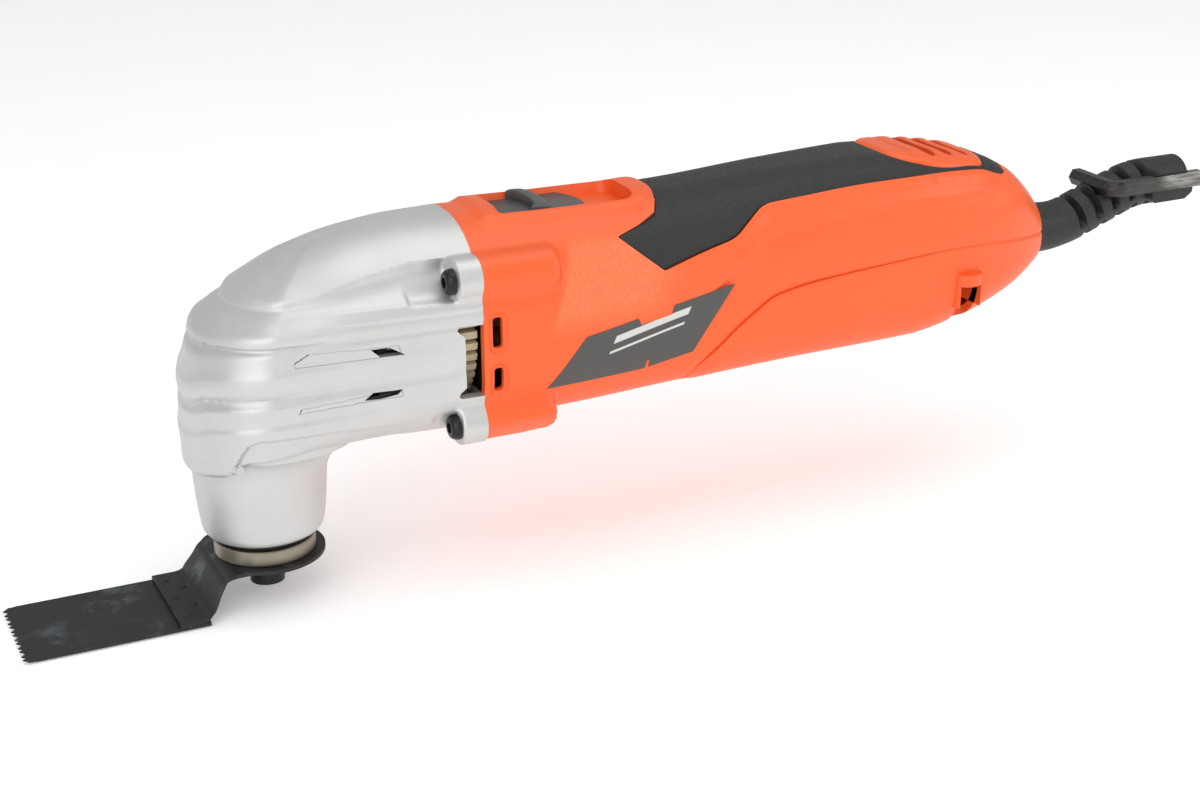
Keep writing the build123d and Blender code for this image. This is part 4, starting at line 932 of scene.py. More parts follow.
# ------------------------------------------------------------------ rear cover
# The lower rear half of the handle, moulded in the same orange plastic and drawn up against the housing
# by four screws, whose pockets open downwards and, for the rear pair, also sideways.
cover_outline = np.concatenate([
    seam_spots[:-1], line_to((tail_x, tail_low), (tail_x, bottom_at(tail_x))), bottom_line(tail_x, seam_x),
    line_to((seam_x, bottom_at(seam_x)), seam_spots[0])])
pockets = ((150.0, 15.0, 15.0), (222.0, 17.5, 27.0))
pocket_r, pocket_top = 3.7, 56.0


def cover_relief(spots, base, normals):
    """The cover stands a hair proud of the seam, which is a fine groove."""
    gap = away(spots, seam_spots, closed=False)
    lift = 0.12 - 0.45 * smooth(gap, 0.5, 0.1)
    lift = lift + 0.35 * smooth(gap, 1.0, 5.0) * smooth(spots[:, 0], 240, 170)
    return base + normals * lift[:, None]


def pocket_outline(x, y0, y1, r, side):
    """A round pocket, drawn out sideways to y1."""
    angle = np.linspace(0, pi, 17)
    outer = np.stack([x + r * np.cos(angle), y1 + r * np.sin(angle)], 1)
    inner = np.stack([x - r * np.cos(angle), y0 - r * np.sin(angle)], 1)
    return np.concatenate([outer, inner]) * (1, side)


cover = housing_skin("rear_cover_skin", cover_outline, [], [], cover_relief)
liners = []
for x, y0, y1 in pockets:
    for side in (1, -1):
        reach_y = min(y1, 22.3) + 0.01
        liner = prism_object("liner", pocket_outline(x, y0, reach_y, pocket_r + 1.3, side),
                             46.8 if x > 200 else 38.6, pocket_top + 1.6, 2)
        cut = prism_object("pocket", pocket_outline(x, y0, y1 + 0.01, pocket_r, side), 20, pocket_top - 2, 2)
        cut_copy = cut.copy()
        cut_copy.data = cut.data.copy()
        bpy.context.scene.collection.objects.link(cut_copy)
        combine(cover, [cut], "DIFFERENCE")
        liners.append(combine(liner, [cut_copy], "DIFFERENCE"))
finish_piece(joined_piece([cover, *liners]), "rear_cover_skin", plastic, "tool",
             ["rear_cover"])


# ------------------------------------------------------------------ soft grip
# Black rubber moulded over the handle, with a pointed lobe in front for the finger tips; fine leather-like
# grain, edges rolled down into the orange shell.
def grip_relief(spots, base, normals):
    """Rubber skin with rolled edges."""
    gap = np.minimum(away(spots, grip_edge, False), away(spots, panel_spots, False))
    roll = 1 - np.clip(gap / 0.9, 0, 1)
    lift = 0.35 * smooth(gap, 0.2, 6.0) - 0.5 * (1 - np.sqrt(np.clip(1 - roll ** 2, 0, 1)))
    return base + normals * lift[:, None]


rubber = Finish("black_rubber", roughness=0.55, specular=0.45)
fine = rubber.cells(0.55)
cloud = rubber.noise(18.0)
rubber.colour((fine.between(0.1, 0.6) * 0.5 + cloud * 0.5).mix((0.009, 0.009, 0.009, 1),
                                                               (0.021, 0.021, 0.020, 1)))
rubber.drive("Roughness", 0.46 + rubber.noise(0.8).between(0.3, 0.7) * 0.18)
rubber.bump(fine, 0.05, 0.6)
grip = housing_skin("soft_grip_skin", grip_outline, [], [], grip_relief, wall=1.55)
finish_piece(grip, "soft_grip_skin", rubber, "tool", ["soft_grip"])


# ------------------------------------------------------------------ side badges
# A thin satin label on each side, cut to a slanted shape with a notch above and below, and printed with
# two plain light stripes.
badge_line = soft_line([(77.3, 44.6), (108.6, 45.4), (109.2, 47.8), (110.2, 47.8), (109.8, 45.6),
                        (124.6, 47.8),
                        (138.6, 66.5), (118.4, 63.0), (117.6, 60.4), (107.4, 58.8), (106.4, 61.0),
                        (89.6, 58.4)],
                       0.25, 0.6)
badge = housing_skin("side_badge_skins", spots_side(badge_line), [], [],
                     lambda spots, base, normals: base + 0.16 * normals, wall=-0.02, half=False)
mirror = badge.data.copy()
mirror.transform(Matrix.Diagonal((1, -1, 1, 1)))
other = bpy.data.objects.new("badge_left", mirror)
bpy.context.scene.collection.objects.link(other)
label = Finish("grey_badge", roughness=0.4)
slant = label.along(0) - label.along(2) * 0.5
row = label.along(2) - label.along(0) * 0.19
wide_stripe = row.between(36.2, 36.35) * (1 - row.between(38.2, 38.35))
fine_stripe = row.between(33.6, 33.7) * (1 - row.between(34.3, 34.4))
stripe = (wide_stripe + fine_stripe) * slant.between(70.5, 70.7) * (1 - slant.between(93.0, 93.2))
satin = label.noise(0.4).mix((0.062, 0.060, 0.056, 1), (0.080, 0.078, 0.073, 1))
label.colour(stripe.mix(satin, (0.62, 0.62, 0.60, 1)))
label.drive("Roughness", 0.34 + label.noise(6.0) * 0.12)
badges = joined_piece([badge, other])
tidy_mesh(badges, 0.0005)
finish_piece(badges, "side_badge_skins", label, "tool", ["side_badges"])


# ------------------------------------------------------------------ switch slider
# Grey moulded thumb slider: a thin plate with a bowed rear edge, and a cross rib whose front face is
# scooped for the thumb. It slides in the recess and holds a stem that reaches down to the link.
slider_low, slider_high = [[1000 * v for v in corner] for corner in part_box("switch_slider")]
plate_half = slider_high[1]
plate_z = (89.02, 90.55)
rib_front, rib_back = 81.0, 91.5
bow = 3.4


def bevelled(piece, width_mm, segments=3, angle_deg=35):
    """Rounds the sharp edges of a closed mesh."""
    tidy_mesh(piece)
    step = piece.modifiers.new("bevel", "BEVEL")
    step.width, step.segments, step.limit_method = width_mm * MM, segments, "ANGLE"
    step.angle_limit = radians(angle_deg)
    return baked(piece)


across = np.linspace(-plate_half, plate_half, 25)
rear_edge = [(slider_high[0] - bow * (y / plate_half) ** 2, y) for y in across]
plate = prism_object("slider", [(slider_low[0], -plate_half), *rear_edge, (slider_low[0], plate_half)],
                     *plate_z, 2)
plate = bevelled(plate, 0.3, 2)
rib_half = plate_half - 0.25
rib_rows = []
for y in np.linspace(-rib_half, rib_half, 41):
    scoop = 2.9 * np.sqrt(max(0.0, 1 - (y / 9.2) ** 2)) if abs(y) < 9.2 else 0.0
    crown = slider_high[2] - 0.05 - 0.5 * smooth(abs(y), rib_half - 1.2, rib_half)
    front = rib_front + scoop
    slope = [(rib_back - (rib_back - front - 2.6) * t, 90.5 + (crown - 90.6) * smooth(t, 0, 1))
             for t in np.linspace(0, 1, 9)]
    rib_rows.append([(front + 0.25, y, 89.6), (front, y, 90.7), (front - 0.15, y, crown - 0.7),
                     (front + 0.1, y, crown - 0.2), (front + 0.6, y, crown)]
                    + [(x, y, z) for x, z in slope[::-1]] + [(rib_back, y, 89.6)])
rib_grid = np.array(rib_rows)
rib_faces = [tuple(f) for f in grid_faces(*rib_grid.shape[:2])]
ring = rib_grid.shape[1]
rib_faces += [(i * ring, i * ring + ring - 1, (i + 1) * ring + ring - 1, (i + 1) * ring)
              for i in range(rib_grid.shape[0] - 1)]
rib_faces += [tuple(range(ring)), tuple(range(rib_grid.shape[0] * ring - 1,
                                              (rib_grid.shape[0] - 1) * ring - 1, -1))]
rib = raw_object("rib", rib_grid.reshape(-1, 3), rib_faces)
stem = box_object("stem", (86.0, -3.0, slider_low[2]), (92.0, 3.0, 89.3))
thumb = Finish("grey_plastic", roughness=0.42)
thumb_grain = thumb.noise(0.45)
thumb.colour((thumb_grain * 0.4 + thumb.noise(9.0) * 0.6).mix((0.058, 0.06, 0.062, 1),
                                                              (0.088, 0.09, 0.092, 1)))
thumb.drive("Roughness", 0.36 + thumb_grain.between(0.3, 0.7) * 0.16)
thumb.bump(thumb_grain, 0.02, 0.5)
finish_piece(joined_piece([plate, rib, stem]), "switch_slider_skin", thumb, "slider",
             ["switch_slider"])


# ------------------------------------------------------------------ cable boot
# Soft black rubber sleeve that keeps the lead from kinking: a plain tapered root, then segments left
# between notches that are cut in turn from above and below, and a block at the end that holds the key.
boot_line = soft_line([(247.0, 60.5), (273.0, 60.5), (302.0, 71.0), (320.3, 71.0)], (0, 6.0, 6.0, 0), 0.45,
                      closed=False)
boot_root_r, boot_tip_r, bore_r = 8.4, 7.7, 3.0
notch_pitch, notch_half, notch_depth = 6.4, 0.85, 2.9
upper_notches = [278.1 + notch_pitch * k for k in range(5)]
lower_notches = [279.6 + notch_pitch * k for k in range(5)]
clip_low, clip_high = (303.6, -10.5, 66.0), (320.4, 6.4, 77.0)
key_low, key_high = [[1000 * v for v in corner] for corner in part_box("hex_key")]


def boot_radius(x, angle):
    """Radius of the sleeve at x and at an angle from the top."""
    r = np.interp(x, (247, 250.6, 251.2, 258, 262, 273),
                  (10.4, 10.4, boot_root_r, boot_root_r, 8.3, boot_tip_r))
    for places, facing, wide in ((upper_notches, 0.0, 1.75), (lower_notches, pi, 0.95)):
        from_facing = np.abs((angle - facing + pi) % (2 * pi) - pi)
        open_here = smooth(from_facing, wide + 0.12, wide - 0.12)
        for place in places:
            cut = smooth(np.abs(x - place), notch_half + 0.55, notch_half - 0.15)
            r = r - notch_depth * cut * open_here
    return r


def sleeve(name, line, radius, around):
    """A round sleeve with closed ends along a line in the middle plane."""
    run = np.gradient(line, axis=0)
    run = run / np.linalg.norm(run, axis=1, keepdims=True)
    angles = np.arange(around) * 2 * pi / around
    rows = []
    for (x, z), (dx, dz) in zip(line, run):
        r = radius(x, angles)
        rows.append(np.stack([x - dz * r * np.cos(angles), r * np.sin(angles), z + dx * r * np.cos(angles)],
                             1))
    count = len(rows)
    faces = [(i * around + k, i * around + (k + 1) % around, (i + 1) * around + (k + 1) % around,
              (i + 1) * around + k)
             for i in range(count - 1) for k in range(around)]
    faces += [tuple(range(around)), tuple(range(count * around - 1, (count - 1) * around - 1, -1))]
    made = raw_object(name, np.concatenate(rows), faces)
    tidy_mesh(made)
    return made


boot = sleeve("cable_boot", boot_line, boot_radius, 72)
block_outline = [(clip_low[0] + 1.2, clip_low[2]), (clip_high[0] - 3.0, clip_low[2] + 0.1),
                 (clip_high[0], clip_low[2] + 2.2),
                 (clip_high[0], 72.6), (clip_high[0] - 4.0, clip_high[2]), (clip_low[0] + 1.4, clip_high[2]),
                 (clip_low[0], clip_high[2] - 3.4), (clip_low[0], clip_low[2] + 1.6)]
block = prism_object("clip", block_outline, clip_low[1], clip_high[1], 1)
block = bevelled(block, 0.7, 3, 25)
combine(boot, [block], "UNION")
bore_line = np.concatenate([[boot_line[0] - (3, 0)], boot_line, [boot_line[-1] + (3, 0)]])
gap = 0.12
key_room = box_object("key_room", (key_low[0] - gap - 0.4, key_low[1] - 9, key_low[2] - gap),
                      (clip_high[0] + 9, key_low[1] + 5.0 + gap, key_high[2] + gap))
arm_room = box_object("arm_room", (key_low[0] - gap, -30, key_low[2] - gap),
                      (key_low[0] + 5.0 + gap, 30, 100))
combine(boot, [sleeve("bore", bore_line, lambda x, angles: np.full(len(angles), bore_r), 40), key_room,
               arm_room],
        "DIFFERENCE")
finish_piece(boot, "cable_boot_skin", rubber, "tool", ["cable_boot"], 45)


# ------------------------------------------------------------------ accessory holder
# A pressed steel strip, round where the flange clamps it, cranked down by two soft bends and widened at
# its far end, where five spot welds hold the blade. Eight holes round the middle take the drive pins.
holder_line = soft_line([(17.1, 0.0), (-14.2, 0.0), (-20.7, -10.8), (-29.9, -10.8)], (0, 2.6, 2.6, 0), 0.35,
                        closed=False)
holder_run = np.concatenate([[0], np.cumsum(np.linalg.norm(np.diff(holder_line, axis=0), axis=1))])
plate_t, plate_r, crank_half, weld_half = 1.2, 17.1, 15.0, 17.0
pin_ring_r, pin_hole_r, screw_hole_r = 10.0, 1.3, 3.3


def on_strip(spots, depth):
    """Places on the bent strip from (way along it, y), sunk by depth."""
    way, y = spots[:, 0], spots[:, 1]
    x, z = np.interp(way, holder_run, holder_line[:, 0]), np.interp(way, holder_run, holder_line[:, 1])
    nudge = 0.4
    dx = np.interp(way + nudge, holder_run, holder_line[:, 0]) - np.interp(way - nudge, holder_run,
                                                                           holder_line[:, 0])
    dz = np.interp(way + nudge, holder_run, holder_line[:, 1]) - np.interp(way - nudge, holder_run,
                                                                           holder_line[:, 1])
    length = np.hypot(dx, dz)
    return np.stack([x - depth * dz / length * -1, y, z + depth * dx / length], 1)


strip_end = holder_run[-1]
waist = strip_end - 16.2
meet = np.arcsin(crank_half / plate_r)
round_end = [(plate_r - plate_r * cos(a), plate_r * sin(a)) for a in np.linspace(-(pi - meet), pi - meet, 60)]
corners = soft_line([(round_end[-1][0], crank_half), (waist, crank_half), (waist + 5.0, weld_half),
                     (strip_end, weld_half)], (0, 3, 2, 0), 0.7, closed=False)[1:]
strip_outline = np.concatenate([round_end, corners, (corners * (1, -1))[::-1]])
holes = [np.array([(plate_r + screw_hole_r * cos(a), screw_hole_r * sin(a))
                   for a in np.linspace(0, 2 * pi, 25)[:-1]])]
for k in range(8):
    spin = 2 * pi * (k + 0.5) / 8
    holes.append(np.array([(plate_r + pin_ring_r * cos(spin) + pin_hole_r * cos(a), pin_ring_r * sin(spin)
                            + pin_hole_r * sin(a)) for a in np.linspace(0, 2 * pi, 15)[:-1]]))
spots, faces = meshed(strip_outline, holes, [], 1.1, rings=(0.3,))
holder = walled("accessory_holder", on_strip(spots, 0.0), on_strip(spots, plate_t), faces)
bevelled(holder, 0.12, 2, 60)


def geometry_tree(name, inputs):
    """A Geometry Nodes tree with named inputs; gives the tree and a wire for the geometry and each input."""
    tree = bpy.data.node_groups.new(name, "GeometryNodeTree")
    tree.interface.new_socket("Geometry", in_out="INPUT", socket_type="NodeSocketGeometry")
    for label, kind in inputs.items():
        tree.interface.new_socket(label, in_out="INPUT", socket_type=kind)
    tree.interface.new_socket("Geometry", in_out="OUTPUT", socket_type="NodeSocketGeometry")
    source = tree.nodes.new("NodeGroupInput")
    return tree, {label: Wire(tree, source.outputs[label]) for label in ("Geometry", *inputs)}


def grown(name, points_mm, tree, end, material, values):
    """Runs the tree on some points and gives what it makes as a plain mesh object."""
    solid = end.node("GeometryNodeRealizeInstances", (end,))
    painted = solid.node("GeometryNodeSetMaterial", {"Geometry": solid, "Material": material})
    result = tree.nodes.new("NodeGroupOutput")
    tree.links.new(painted.socket, result.inputs[0])
    piece = raw_object(name, points_mm, [])
    step = piece.modifiers.new("grow", "NODES")
    step.node_group = tree
    for item in tree.interface.items_tree:
        if item.in_out == "INPUT" and item.name in values:
            step[item.identifier] = values[item.name]
    return baked(piece)


steel = Finish("blackened_steel", roughness=0.5, metallic=0.55)
rolled = steel.noise(3.0, 5.0, 0.6, stretch=(0.25, 1.0, 1.0))
scuffs = steel.noise(7.0, 6.0, 0.7)
smudge = steel.noise(16.0, 2.0).between(0.5, 0.66) * scuffs.between(0.45, 0.62)
worn = steel.noise(1.2, 4.0, 0.7).between(0.62, 0.72) * steel.noise(9.0).between(0.45, 0.6)
dark = rolled.mix((0.018, 0.018, 0.018, 1), (0.040, 0.040, 0.039, 1))
steel.colour(worn.mix(smudge.mix(dark, (0.085, 0.098, 0.108, 1)), (0.16, 0.155, 0.15, 1)))
steel.drive("Roughness", 0.42 + rolled * 0.2 - smudge * 0.08)
steel.bump(rolled * 0.6 + scuffs * 0.4, 0.03, 0.5)
tree, feed = geometry_tree("spot_welds", {"Weld Radius": "NodeSocketFloat", "Weld Height": "NodeSocketFloat"})
ball = feed["Weld Radius"].node("GeometryNodeMeshUVSphere",
                                {"Segments": 20, "Rings": 10, "Radius": feed["Weld Radius"]})
flat = ball.node("ShaderNodeCombineXYZ", (1.0, 1.0, feed["Weld Height"]))
welds = flat.node("GeometryNodeInstanceOnPoints",
                  {"Points": feed["Geometry"], "Instance": ball, "Scale": flat})
weld_spots = [(-23.4 if k % 2 else -26.8, -12.4 + 6.2 * k, -10.82) for k in range(5)]
welds = grown("welds", weld_spots, tree, welds, steel.material,
              {"Weld Radius": 1.0 * MM, "Weld Height": 0.34})
finish_piece(joined_piece([holder, welds]), "accessory_holder_skin", steel, "spindle_group",
             ["accessory_holder"], 30)


# ------------------------------------------------------------------ saw blade
# Thin blackened steel blade welded under the holder, with a row of coarse teeth set alternately up and
# down, thinned towards their tips.
blade_low, blade_high = [[1000 * v for v in corner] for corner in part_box("saw_blade")]
blade_half, tooth_count, tooth_depth = blade_high[1], 13, 1.6
tooth_pitch = 2 * blade_half / tooth_count
tooth_root = blade_low[0] + tooth_depth
edge = [(blade_high[0], -blade_half), (tooth_root, -blade_half)]
for k in range(tooth_count):
    y = -blade_half + k * tooth_pitch
    edge += [(blade_low[0] + 0.15, y + 0.36 * tooth_pitch), (blade_low[0], y + 0.44 * tooth_pitch),
             (tooth_root + 0.15, y + 0.93 * tooth_pitch), (tooth_root, y + tooth_pitch)]
edge.append((blade_high[0], blade_half))
edge = np.array(edge)
spots, faces = meshed(soft_line(edge, 0.0, 0.5), [], [], 1.6, rings=(0.4,))
in_turn = np.sign(np.sin(pi * (spots[:, 1] + blade_half) / tooth_pitch))
kerf = 0.12 * in_turn * smooth(spots[:, 0], tooth_root + 1.5, blade_low[0])
thin = 0.2 * smooth(spots[:, 0], tooth_root + 0.4, blade_low[0])
top = np.stack([spots[:, 0], spots[:, 1], blade_high[2] - 0.13 + kerf * 0.9 - thin], 1)
under = np.stack([spots[:, 0], spots[:, 1], blade_low[2] + 0.13 + kerf * 0.9 + thin], 1)
top[:, 2] = np.where(spots[:, 0] > tooth_root + 2, blade_high[2] - 0.01, top[:, 2])
under[:, 2] = np.where(spots[:, 0] > tooth_root + 2, blade_low[2] + 0.01, under[:, 2])
blade = walled("saw_blade", top, under, faces)
finish_piece(blade, "saw_blade_skin", steel, "spindle_group", ["saw_blade"], 25)


# ------------------------------------------------------------------ head screws
# Four black oxide screws with domed heads and a hexagon socket, driven from the front through the
# head's corner bosses into the towers of the housing.
black = Finish("black_oxide", roughness=0.3, metallic=0.6)
black_cloud = black.noise(1.5, 4.0)
black.colour(black_cloud.mix((0.012, 0.012, 0.013, 1), (0.035, 0.035, 0.037, 1)))
black.drive("Roughness", 0.24 + black_cloud * 0.22)
screw_head_r, screw_head_h, socket_r = 3.7, 2.5, 1.75


def turned(name, profile, around, axis=0):
    """A piece turned about one axis, from (way along the axis, radius) points."""
    points = []
    for along, r in profile:
        for k in range(around):
            angle = 2 * pi * k / around
            point = [r * cos(angle), r * sin(angle)]
            point.insert(axis, along)
            points.append(point)
    faces = [(i * around + k, i * around + (k + 1) % around, (i + 1) * around + (k + 1) % around,
              (i + 1) * around + k) for i in range(len(profile) - 1) for k in range(around)]
    made = raw_object(name, points, faces)
    tidy_mesh(made)
    return made


dome = [(-screw_head_h * cos(t), screw_head_r * (0.62 + 0.38 * sin(t))) for t in np.linspace(0, pi / 2, 8)]
screw = turned("screw", [(-screw_head_h, 0), *dome, (0.02, screw_head_r), (0.02, 1.9), (20, 1.9), (20.6, 1.3),
                         (20.6, 0)], 40)
hexagon = [(socket_r * cos(pi * k / 3), socket_r * sin(pi * k / 3)) for k in range(6)]
combine(screw, [prism_object("socket", hexagon, -screw_head_h - 1, -screw_head_h + 1.7, 0)], "DIFFERENCE")
tree, feed = geometry_tree("head_screws", {"Screw": "NodeSocketObject", "Size": "NodeSocketFloat"})
whole = feed["Screw"].node("GeometryNodeObjectInfo", {"Object": feed["Screw"]}, out="Geometry")
placed = whole.node("GeometryNodeInstanceOnPoints",
                    {"Points": feed["Geometry"], "Instance": whole, "Scale": feed["Size"]})
screw_spots = [(boss_face_x - 0.02, side * y, z) for side in (1, -1) for y, z in ((25.2, 79.7), (25.4, 37.2))]
screws = grown("head_screw_set", screw_spots, tree, placed, black.material, {"Screw": screw, "Size": 1.0})
bpy.data.objects.remove(screw)
finish_piece(screws, "head_screw_set", black, "tool", ["head_screws"], 30)


# ------------------------------------------------------------------ fan
# Natural nylon fan wheel on the motor shaft: a back disc, a hub and many narrow leaning blades, whose
# tips fill the side windows of the head.
fan_low, fan_high = [[1000 * v for v in corner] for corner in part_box("fan")]
motor_z = (fan_low[2] + fan_high[2]) / 2
fan_r = (fan_high[2] - fan_low[2]) / 2
nylon = Finish("cream_plastic", roughness=0.4)
nylon_cloud = nylon.noise(5.0, 3.0)
nylon.colour(nylon_cloud.mix((0.52, 0.45, 0.28, 1), (0.70, 0.63, 0.43, 1)))
nylon.drive("Roughness", 0.34 + nylon_cloud * 0.2)
nylon.bump(nylon.noise(0.6), 0.02, 0.4)
tree, feed = geometry_tree("fan_blades", {"Blades": "NodeSocketInt", "Blade Length": "NodeSocketFloat",
                                          "Blade Depth": "NodeSocketFloat",
                                          "Blade Thickness": "NodeSocketFloat",
                                          "Tip Radius": "NodeSocketFloat", "Lean": "NodeSocketFloat"})
size = feed["Blades"].node("ShaderNodeCombineXYZ",
                           (feed["Blade Length"], feed["Blade Thickness"], feed["Blade Depth"]))
slat = size.node("GeometryNodeMeshCube", {"Size": size, "Vertices X": 2, "Vertices Y": 2, "Vertices Z": 3})
lean = slat.node("ShaderNodeCombineXYZ", (feed["Lean"], 0.0, 0.0))
out_by = feed["Tip Radius"] - feed["Blade Depth"] * 0.5
offset = slat.node("ShaderNodeCombineXYZ", (0.0, 0.0, out_by))
slat = slat.node("GeometryNodeTransform", {"Geometry": slat, "Translation": offset, "Rotation": lean})
row_points = slat.node("GeometryNodeMeshLine", {"Count": feed["Blades"], "Offset": (0.0, 0.0, 0.0)},
                       out="Mesh")
index = slat.node("GeometryNodeInputIndex")
step_angle = index.maths("DIVIDE", index * (2 * pi), feed["Blades"])
spin = slat.node("ShaderNodeCombineXYZ", (step_angle, 0.0, 0.0))
wheel_of_slats = slat.node("GeometryNodeInstanceOnPoints",
                           {"Points": row_points, "Instance": slat, "Rotation": spin})
shaft_place = ((fan_high[0] - 5.9) * MM, 0.0, motor_z * MM)
moved = wheel_of_slats.node("GeometryNodeTransform", {"Geometry": wheel_of_slats, "Translation": shaft_place})
blades = grown("blades", [(0, 0, 0)], tree, moved, nylon.material,
               {"Blades": 46, "Blade Length": 11.6 * MM, "Blade Depth": 8.0 * MM, "Blade Thickness": 2.1 * MM,
                "Tip Radius": (fan_r - 0.25) * MM, "Lean": 0.12})
wheel = turned("fan", [(fan_high[0] - 0.05, 5.02), (fan_high[0] - 0.05, fan_r - 4.5),
                       (fan_high[0] - 0.5, fan_r - 4.0),
                       (fan_high[0] - 1.4, fan_r - 4.3), (fan_high[0] - 1.6, 12.0), (fan_high[0] - 3.0, 9.6),
                       (fan_low[0] + 2.4, 9.0), (fan_low[0] + 2.0, 8.4), (fan_low[0] + 2.0, 5.02),
                       (fan_high[0] - 0.05, 5.02)], 96)
wheel.data.transform(Matrix.Translation((0, 0, motor_z * MM)))
finish_piece(joined_piece([wheel, blades]), "fan_wheel", nylon, "rotor", ["fan"], 30)


# ------------------------------------------------------------------ spindle, seal and clamp screw
# The ground flange carries a brown tarnish from hardening and fine rings from turning. Above it is a
# felt seal, below it the black clamp screw and its washer.
flange = Finish("flange_steel", roughness=0.36, metallic=0.9)
rings = flange.noise(1.6, 4.0, 0.6, stretch=(0.06, 0.06, 3.0))
tarnish = flange.noise(6.0, 4.0)
flange.colour((rings * 0.5 + tarnish * 0.5).mix((0.17, 0.15, 0.115, 1), (0.46, 0.42, 0.34, 1)))
flange.drive("Roughness", 0.26 + rings * 0.28)
flange.bump(rings, 0.02, 0.4)
felt = Finish("pressed_felt", roughness=0.95)
fibres = felt.noise(0.4, 6.0, 0.75)
felt.colour(fibres.mix((0.008, 0.008, 0.008, 1), (0.035, 0.033, 0.03, 1)))
felt.bump(fibres, 0.2, 1.0)


def paint(finish, *names):
    """Gives CAD nodes their finish."""
    for name in names:
        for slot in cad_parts[name].material_slots:
            slot.link = "OBJECT"
            slot.material = finish.material


paint(flange, "spindle", "oscillating_fork")
paint(felt, "dust_seal")
paint(black, "clamp_screw", "clamp_washer", "cover_screws")


# ------------------------------------------------------------------ hexagon key
# Drawn hexagon bar with a dark finish, rubbed bright in long streaks. The streaks fade to a trace below
# x 303 mm, which keeps that end of the key dark as painted shade; past x 309 mm they show in full.
key_finish = Finish("key_steel", roughness=0.38, metallic=0.8)
streaks = key_finish.noise(1.1, 5.0, 0.7, stretch=(0.12, 1.0, 1.0))
# painted shade: 0 at the dark end of the key below x 303 mm, 1 past x 309 mm where the streaks show fully
shade_to_lit = key_finish.along(0).between(303, 309)
key_finish.colour((streaks.between(0.3, 0.7) * (0.15 + 0.85 * shade_to_lit)).mix((0.03, 0.03, 0.03, 1),
                                                                        (0.30, 0.29, 0.27, 1)))
key_finish.drive("Roughness", 0.3 + streaks * 0.25)
key_finish.bump(streaks, 0.02, 0.5)
paint(key_finish, "hex_key")


# ------------------------------------------------------------------ inside the head
# Bearing bridge as cast and matt, coloured nearly black as painted shade of the dark inside of the head;
# ground bearing steel; bright turned screws, rings and shaft.
shaded_cast = Finish("raw_casting", roughness=0.8, metallic=0.2)
raw_grain = shaded_cast.noise(0.8, 4.0)
# painted shade: the near-black colour stands for the shade inside the head; the fine grain is the casting's
# own
shaded_cast.colour(raw_grain.mix((0.012, 0.012, 0.013, 1), (0.035, 0.036, 0.038, 1)))
shaded_cast.bump(raw_grain, 0.06, 0.8)
ground = Finish("bearing_steel", roughness=0.18, metallic=1.0)
ground_rings = ground.noise(1.0, 3.0, 0.5, stretch=(0.3, 0.3, 2.0))
ground.colour(ground_rings.mix((0.50, 0.51, 0.53, 1), (0.68, 0.69, 0.71, 1)))
ground.drive("Roughness", 0.12 + ground_rings * 0.16)
bright = Finish("bright_steel", roughness=0.3, metallic=1.0)
bright_turn = bright.noise(1.3, 4.0, 0.6, stretch=(2.0, 0.4, 0.4))
bright.colour(bright_turn.mix((0.40, 0.40, 0.41, 1), (0.62, 0.62, 0.63, 1)))
bright.drive("Roughness", 0.22 + bright_turn * 0.2)
paint(shaded_cast, "bearing_bridge")
for bearing in ("lower_spindle", "upper_spindle", "front_motor", "rear_motor", "eccentric"):
    paint(ground, *[f"{bearing}_bearing_{part}" for part in ("outer_race", "inner_race", "balls")])
paint(bright, "bridge_screws", "carrier_screws", "cord_clamp_screws", "brush_springs", "spindle_circlip",
      "bearing_retaining_ring", "armature_shaft")


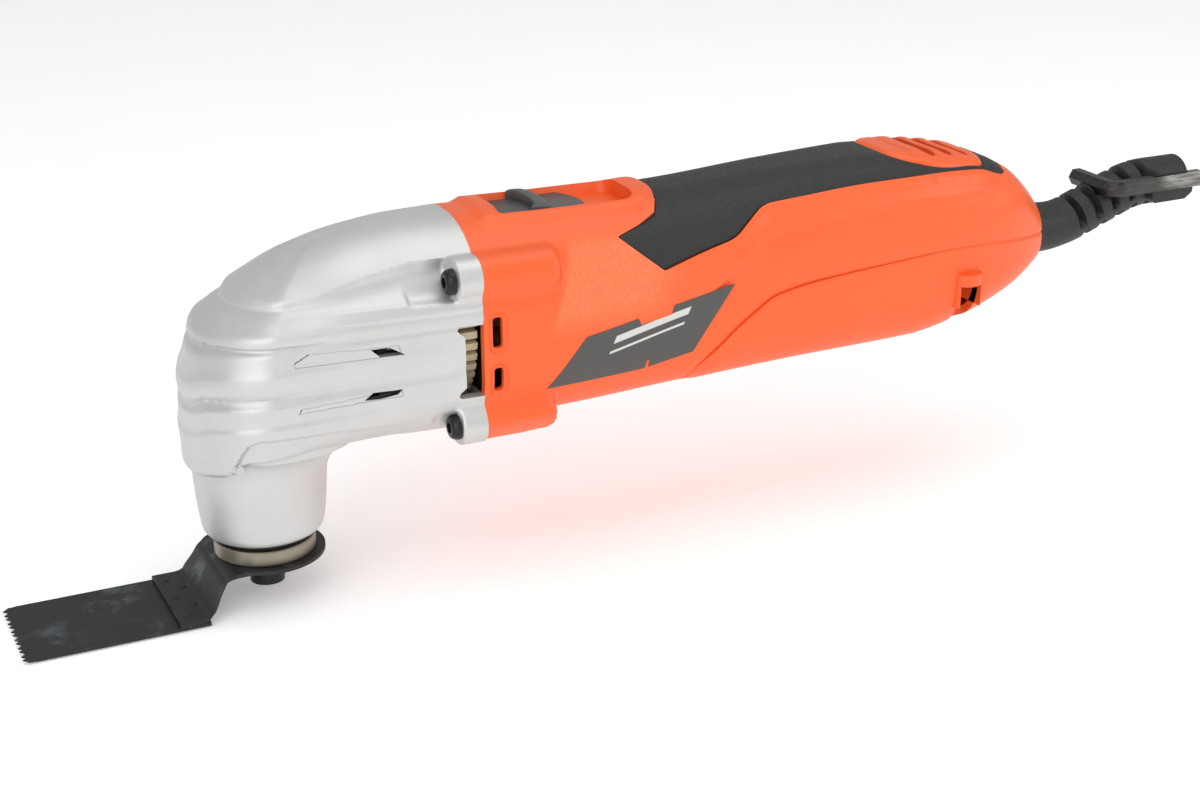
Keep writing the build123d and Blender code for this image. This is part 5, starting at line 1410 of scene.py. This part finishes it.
# ------------------------------------------------------------------ motor
# Stacked laminations with the edge of each sheet showing, enamelled copper wire laid side by side, a
# copper commutator, brass brush boxes and pressed carbon brushes.
sheets = Finish("lamination_steel", roughness=0.5, metallic=0.8)
layers = sheets.along(0).maths("FRACT", sheets.along(0) * 2.0).between(0.1, 0.5)
patina = sheets.noise(4.0, 4.0)
sheets.colour((layers * 0.5 + patina * 0.5).mix((0.10, 0.10, 0.11, 1), (0.34, 0.35, 0.37, 1)))
sheets.bump(layers, 0.05, 0.7)
copper = Finish("enamelled_copper", roughness=0.35, metallic=0.9)
wires = copper.along(0).maths("SINE", copper.along(0) * 14.0).between(-0.6, 0.6)
copper_cloud = copper.noise(3.0, 3.0)
copper.colour((wires * 0.5 + copper_cloud * 0.5).mix((0.36, 0.12, 0.045, 1), (0.78, 0.33, 0.15, 1)))
copper.bump(wires, 0.1, 0.8)
brass = Finish("brass", roughness=0.3, metallic=1.0)
brass_cloud = brass.noise(2.0, 4.0)
brass.colour(brass_cloud.mix((0.50, 0.34, 0.12, 1), (0.74, 0.56, 0.25, 1)))
brass.drive("Roughness", 0.24 + brass_cloud * 0.2)
carbon = Finish("carbon", roughness=0.8)
carbon_grain = carbon.noise(0.3, 4.0)
carbon.colour(carbon_grain.mix((0.012, 0.012, 0.014, 1), (0.05, 0.05, 0.055, 1)))
carbon.bump(carbon_grain, 0.04, 0.8)
paint(sheets, "armature_core", "stator_core")
paint(copper, "armature_windings", "field_coils", "commutator")
paint(brass, "brush_holders")
paint(carbon, "brushes")


# ------------------------------------------------------------------ switch, supply and baffle
# Black moulded parts with a fine spark-eroded texture, and the yellow dipped capacitor.
moulded = Finish("black_plastic", roughness=0.5)
eroded = moulded.noise(0.35, 3.0)
moulded.colour(eroded.mix((0.016, 0.016, 0.017, 1), (0.042, 0.042, 0.043, 1)))
moulded.drive("Roughness", 0.42 + eroded * 0.2)
moulded.bump(eroded, 0.03, 0.6)
dipped = Finish("yellow_plastic", roughness=0.35)
drip = dipped.noise(5.0, 3.0)
dipped.colour(drip.mix((0.55, 0.38, 0.05, 1), (0.72, 0.55, 0.12, 1)))
dipped.bump(drip, 0.2, 0.5)
paint(moulded, "switch_body", "switch_knob", "switch_link", "brush_carrier", "terminal_block", "cord_clamp",
      "fan_baffle")
paint(dipped, "capacitor")
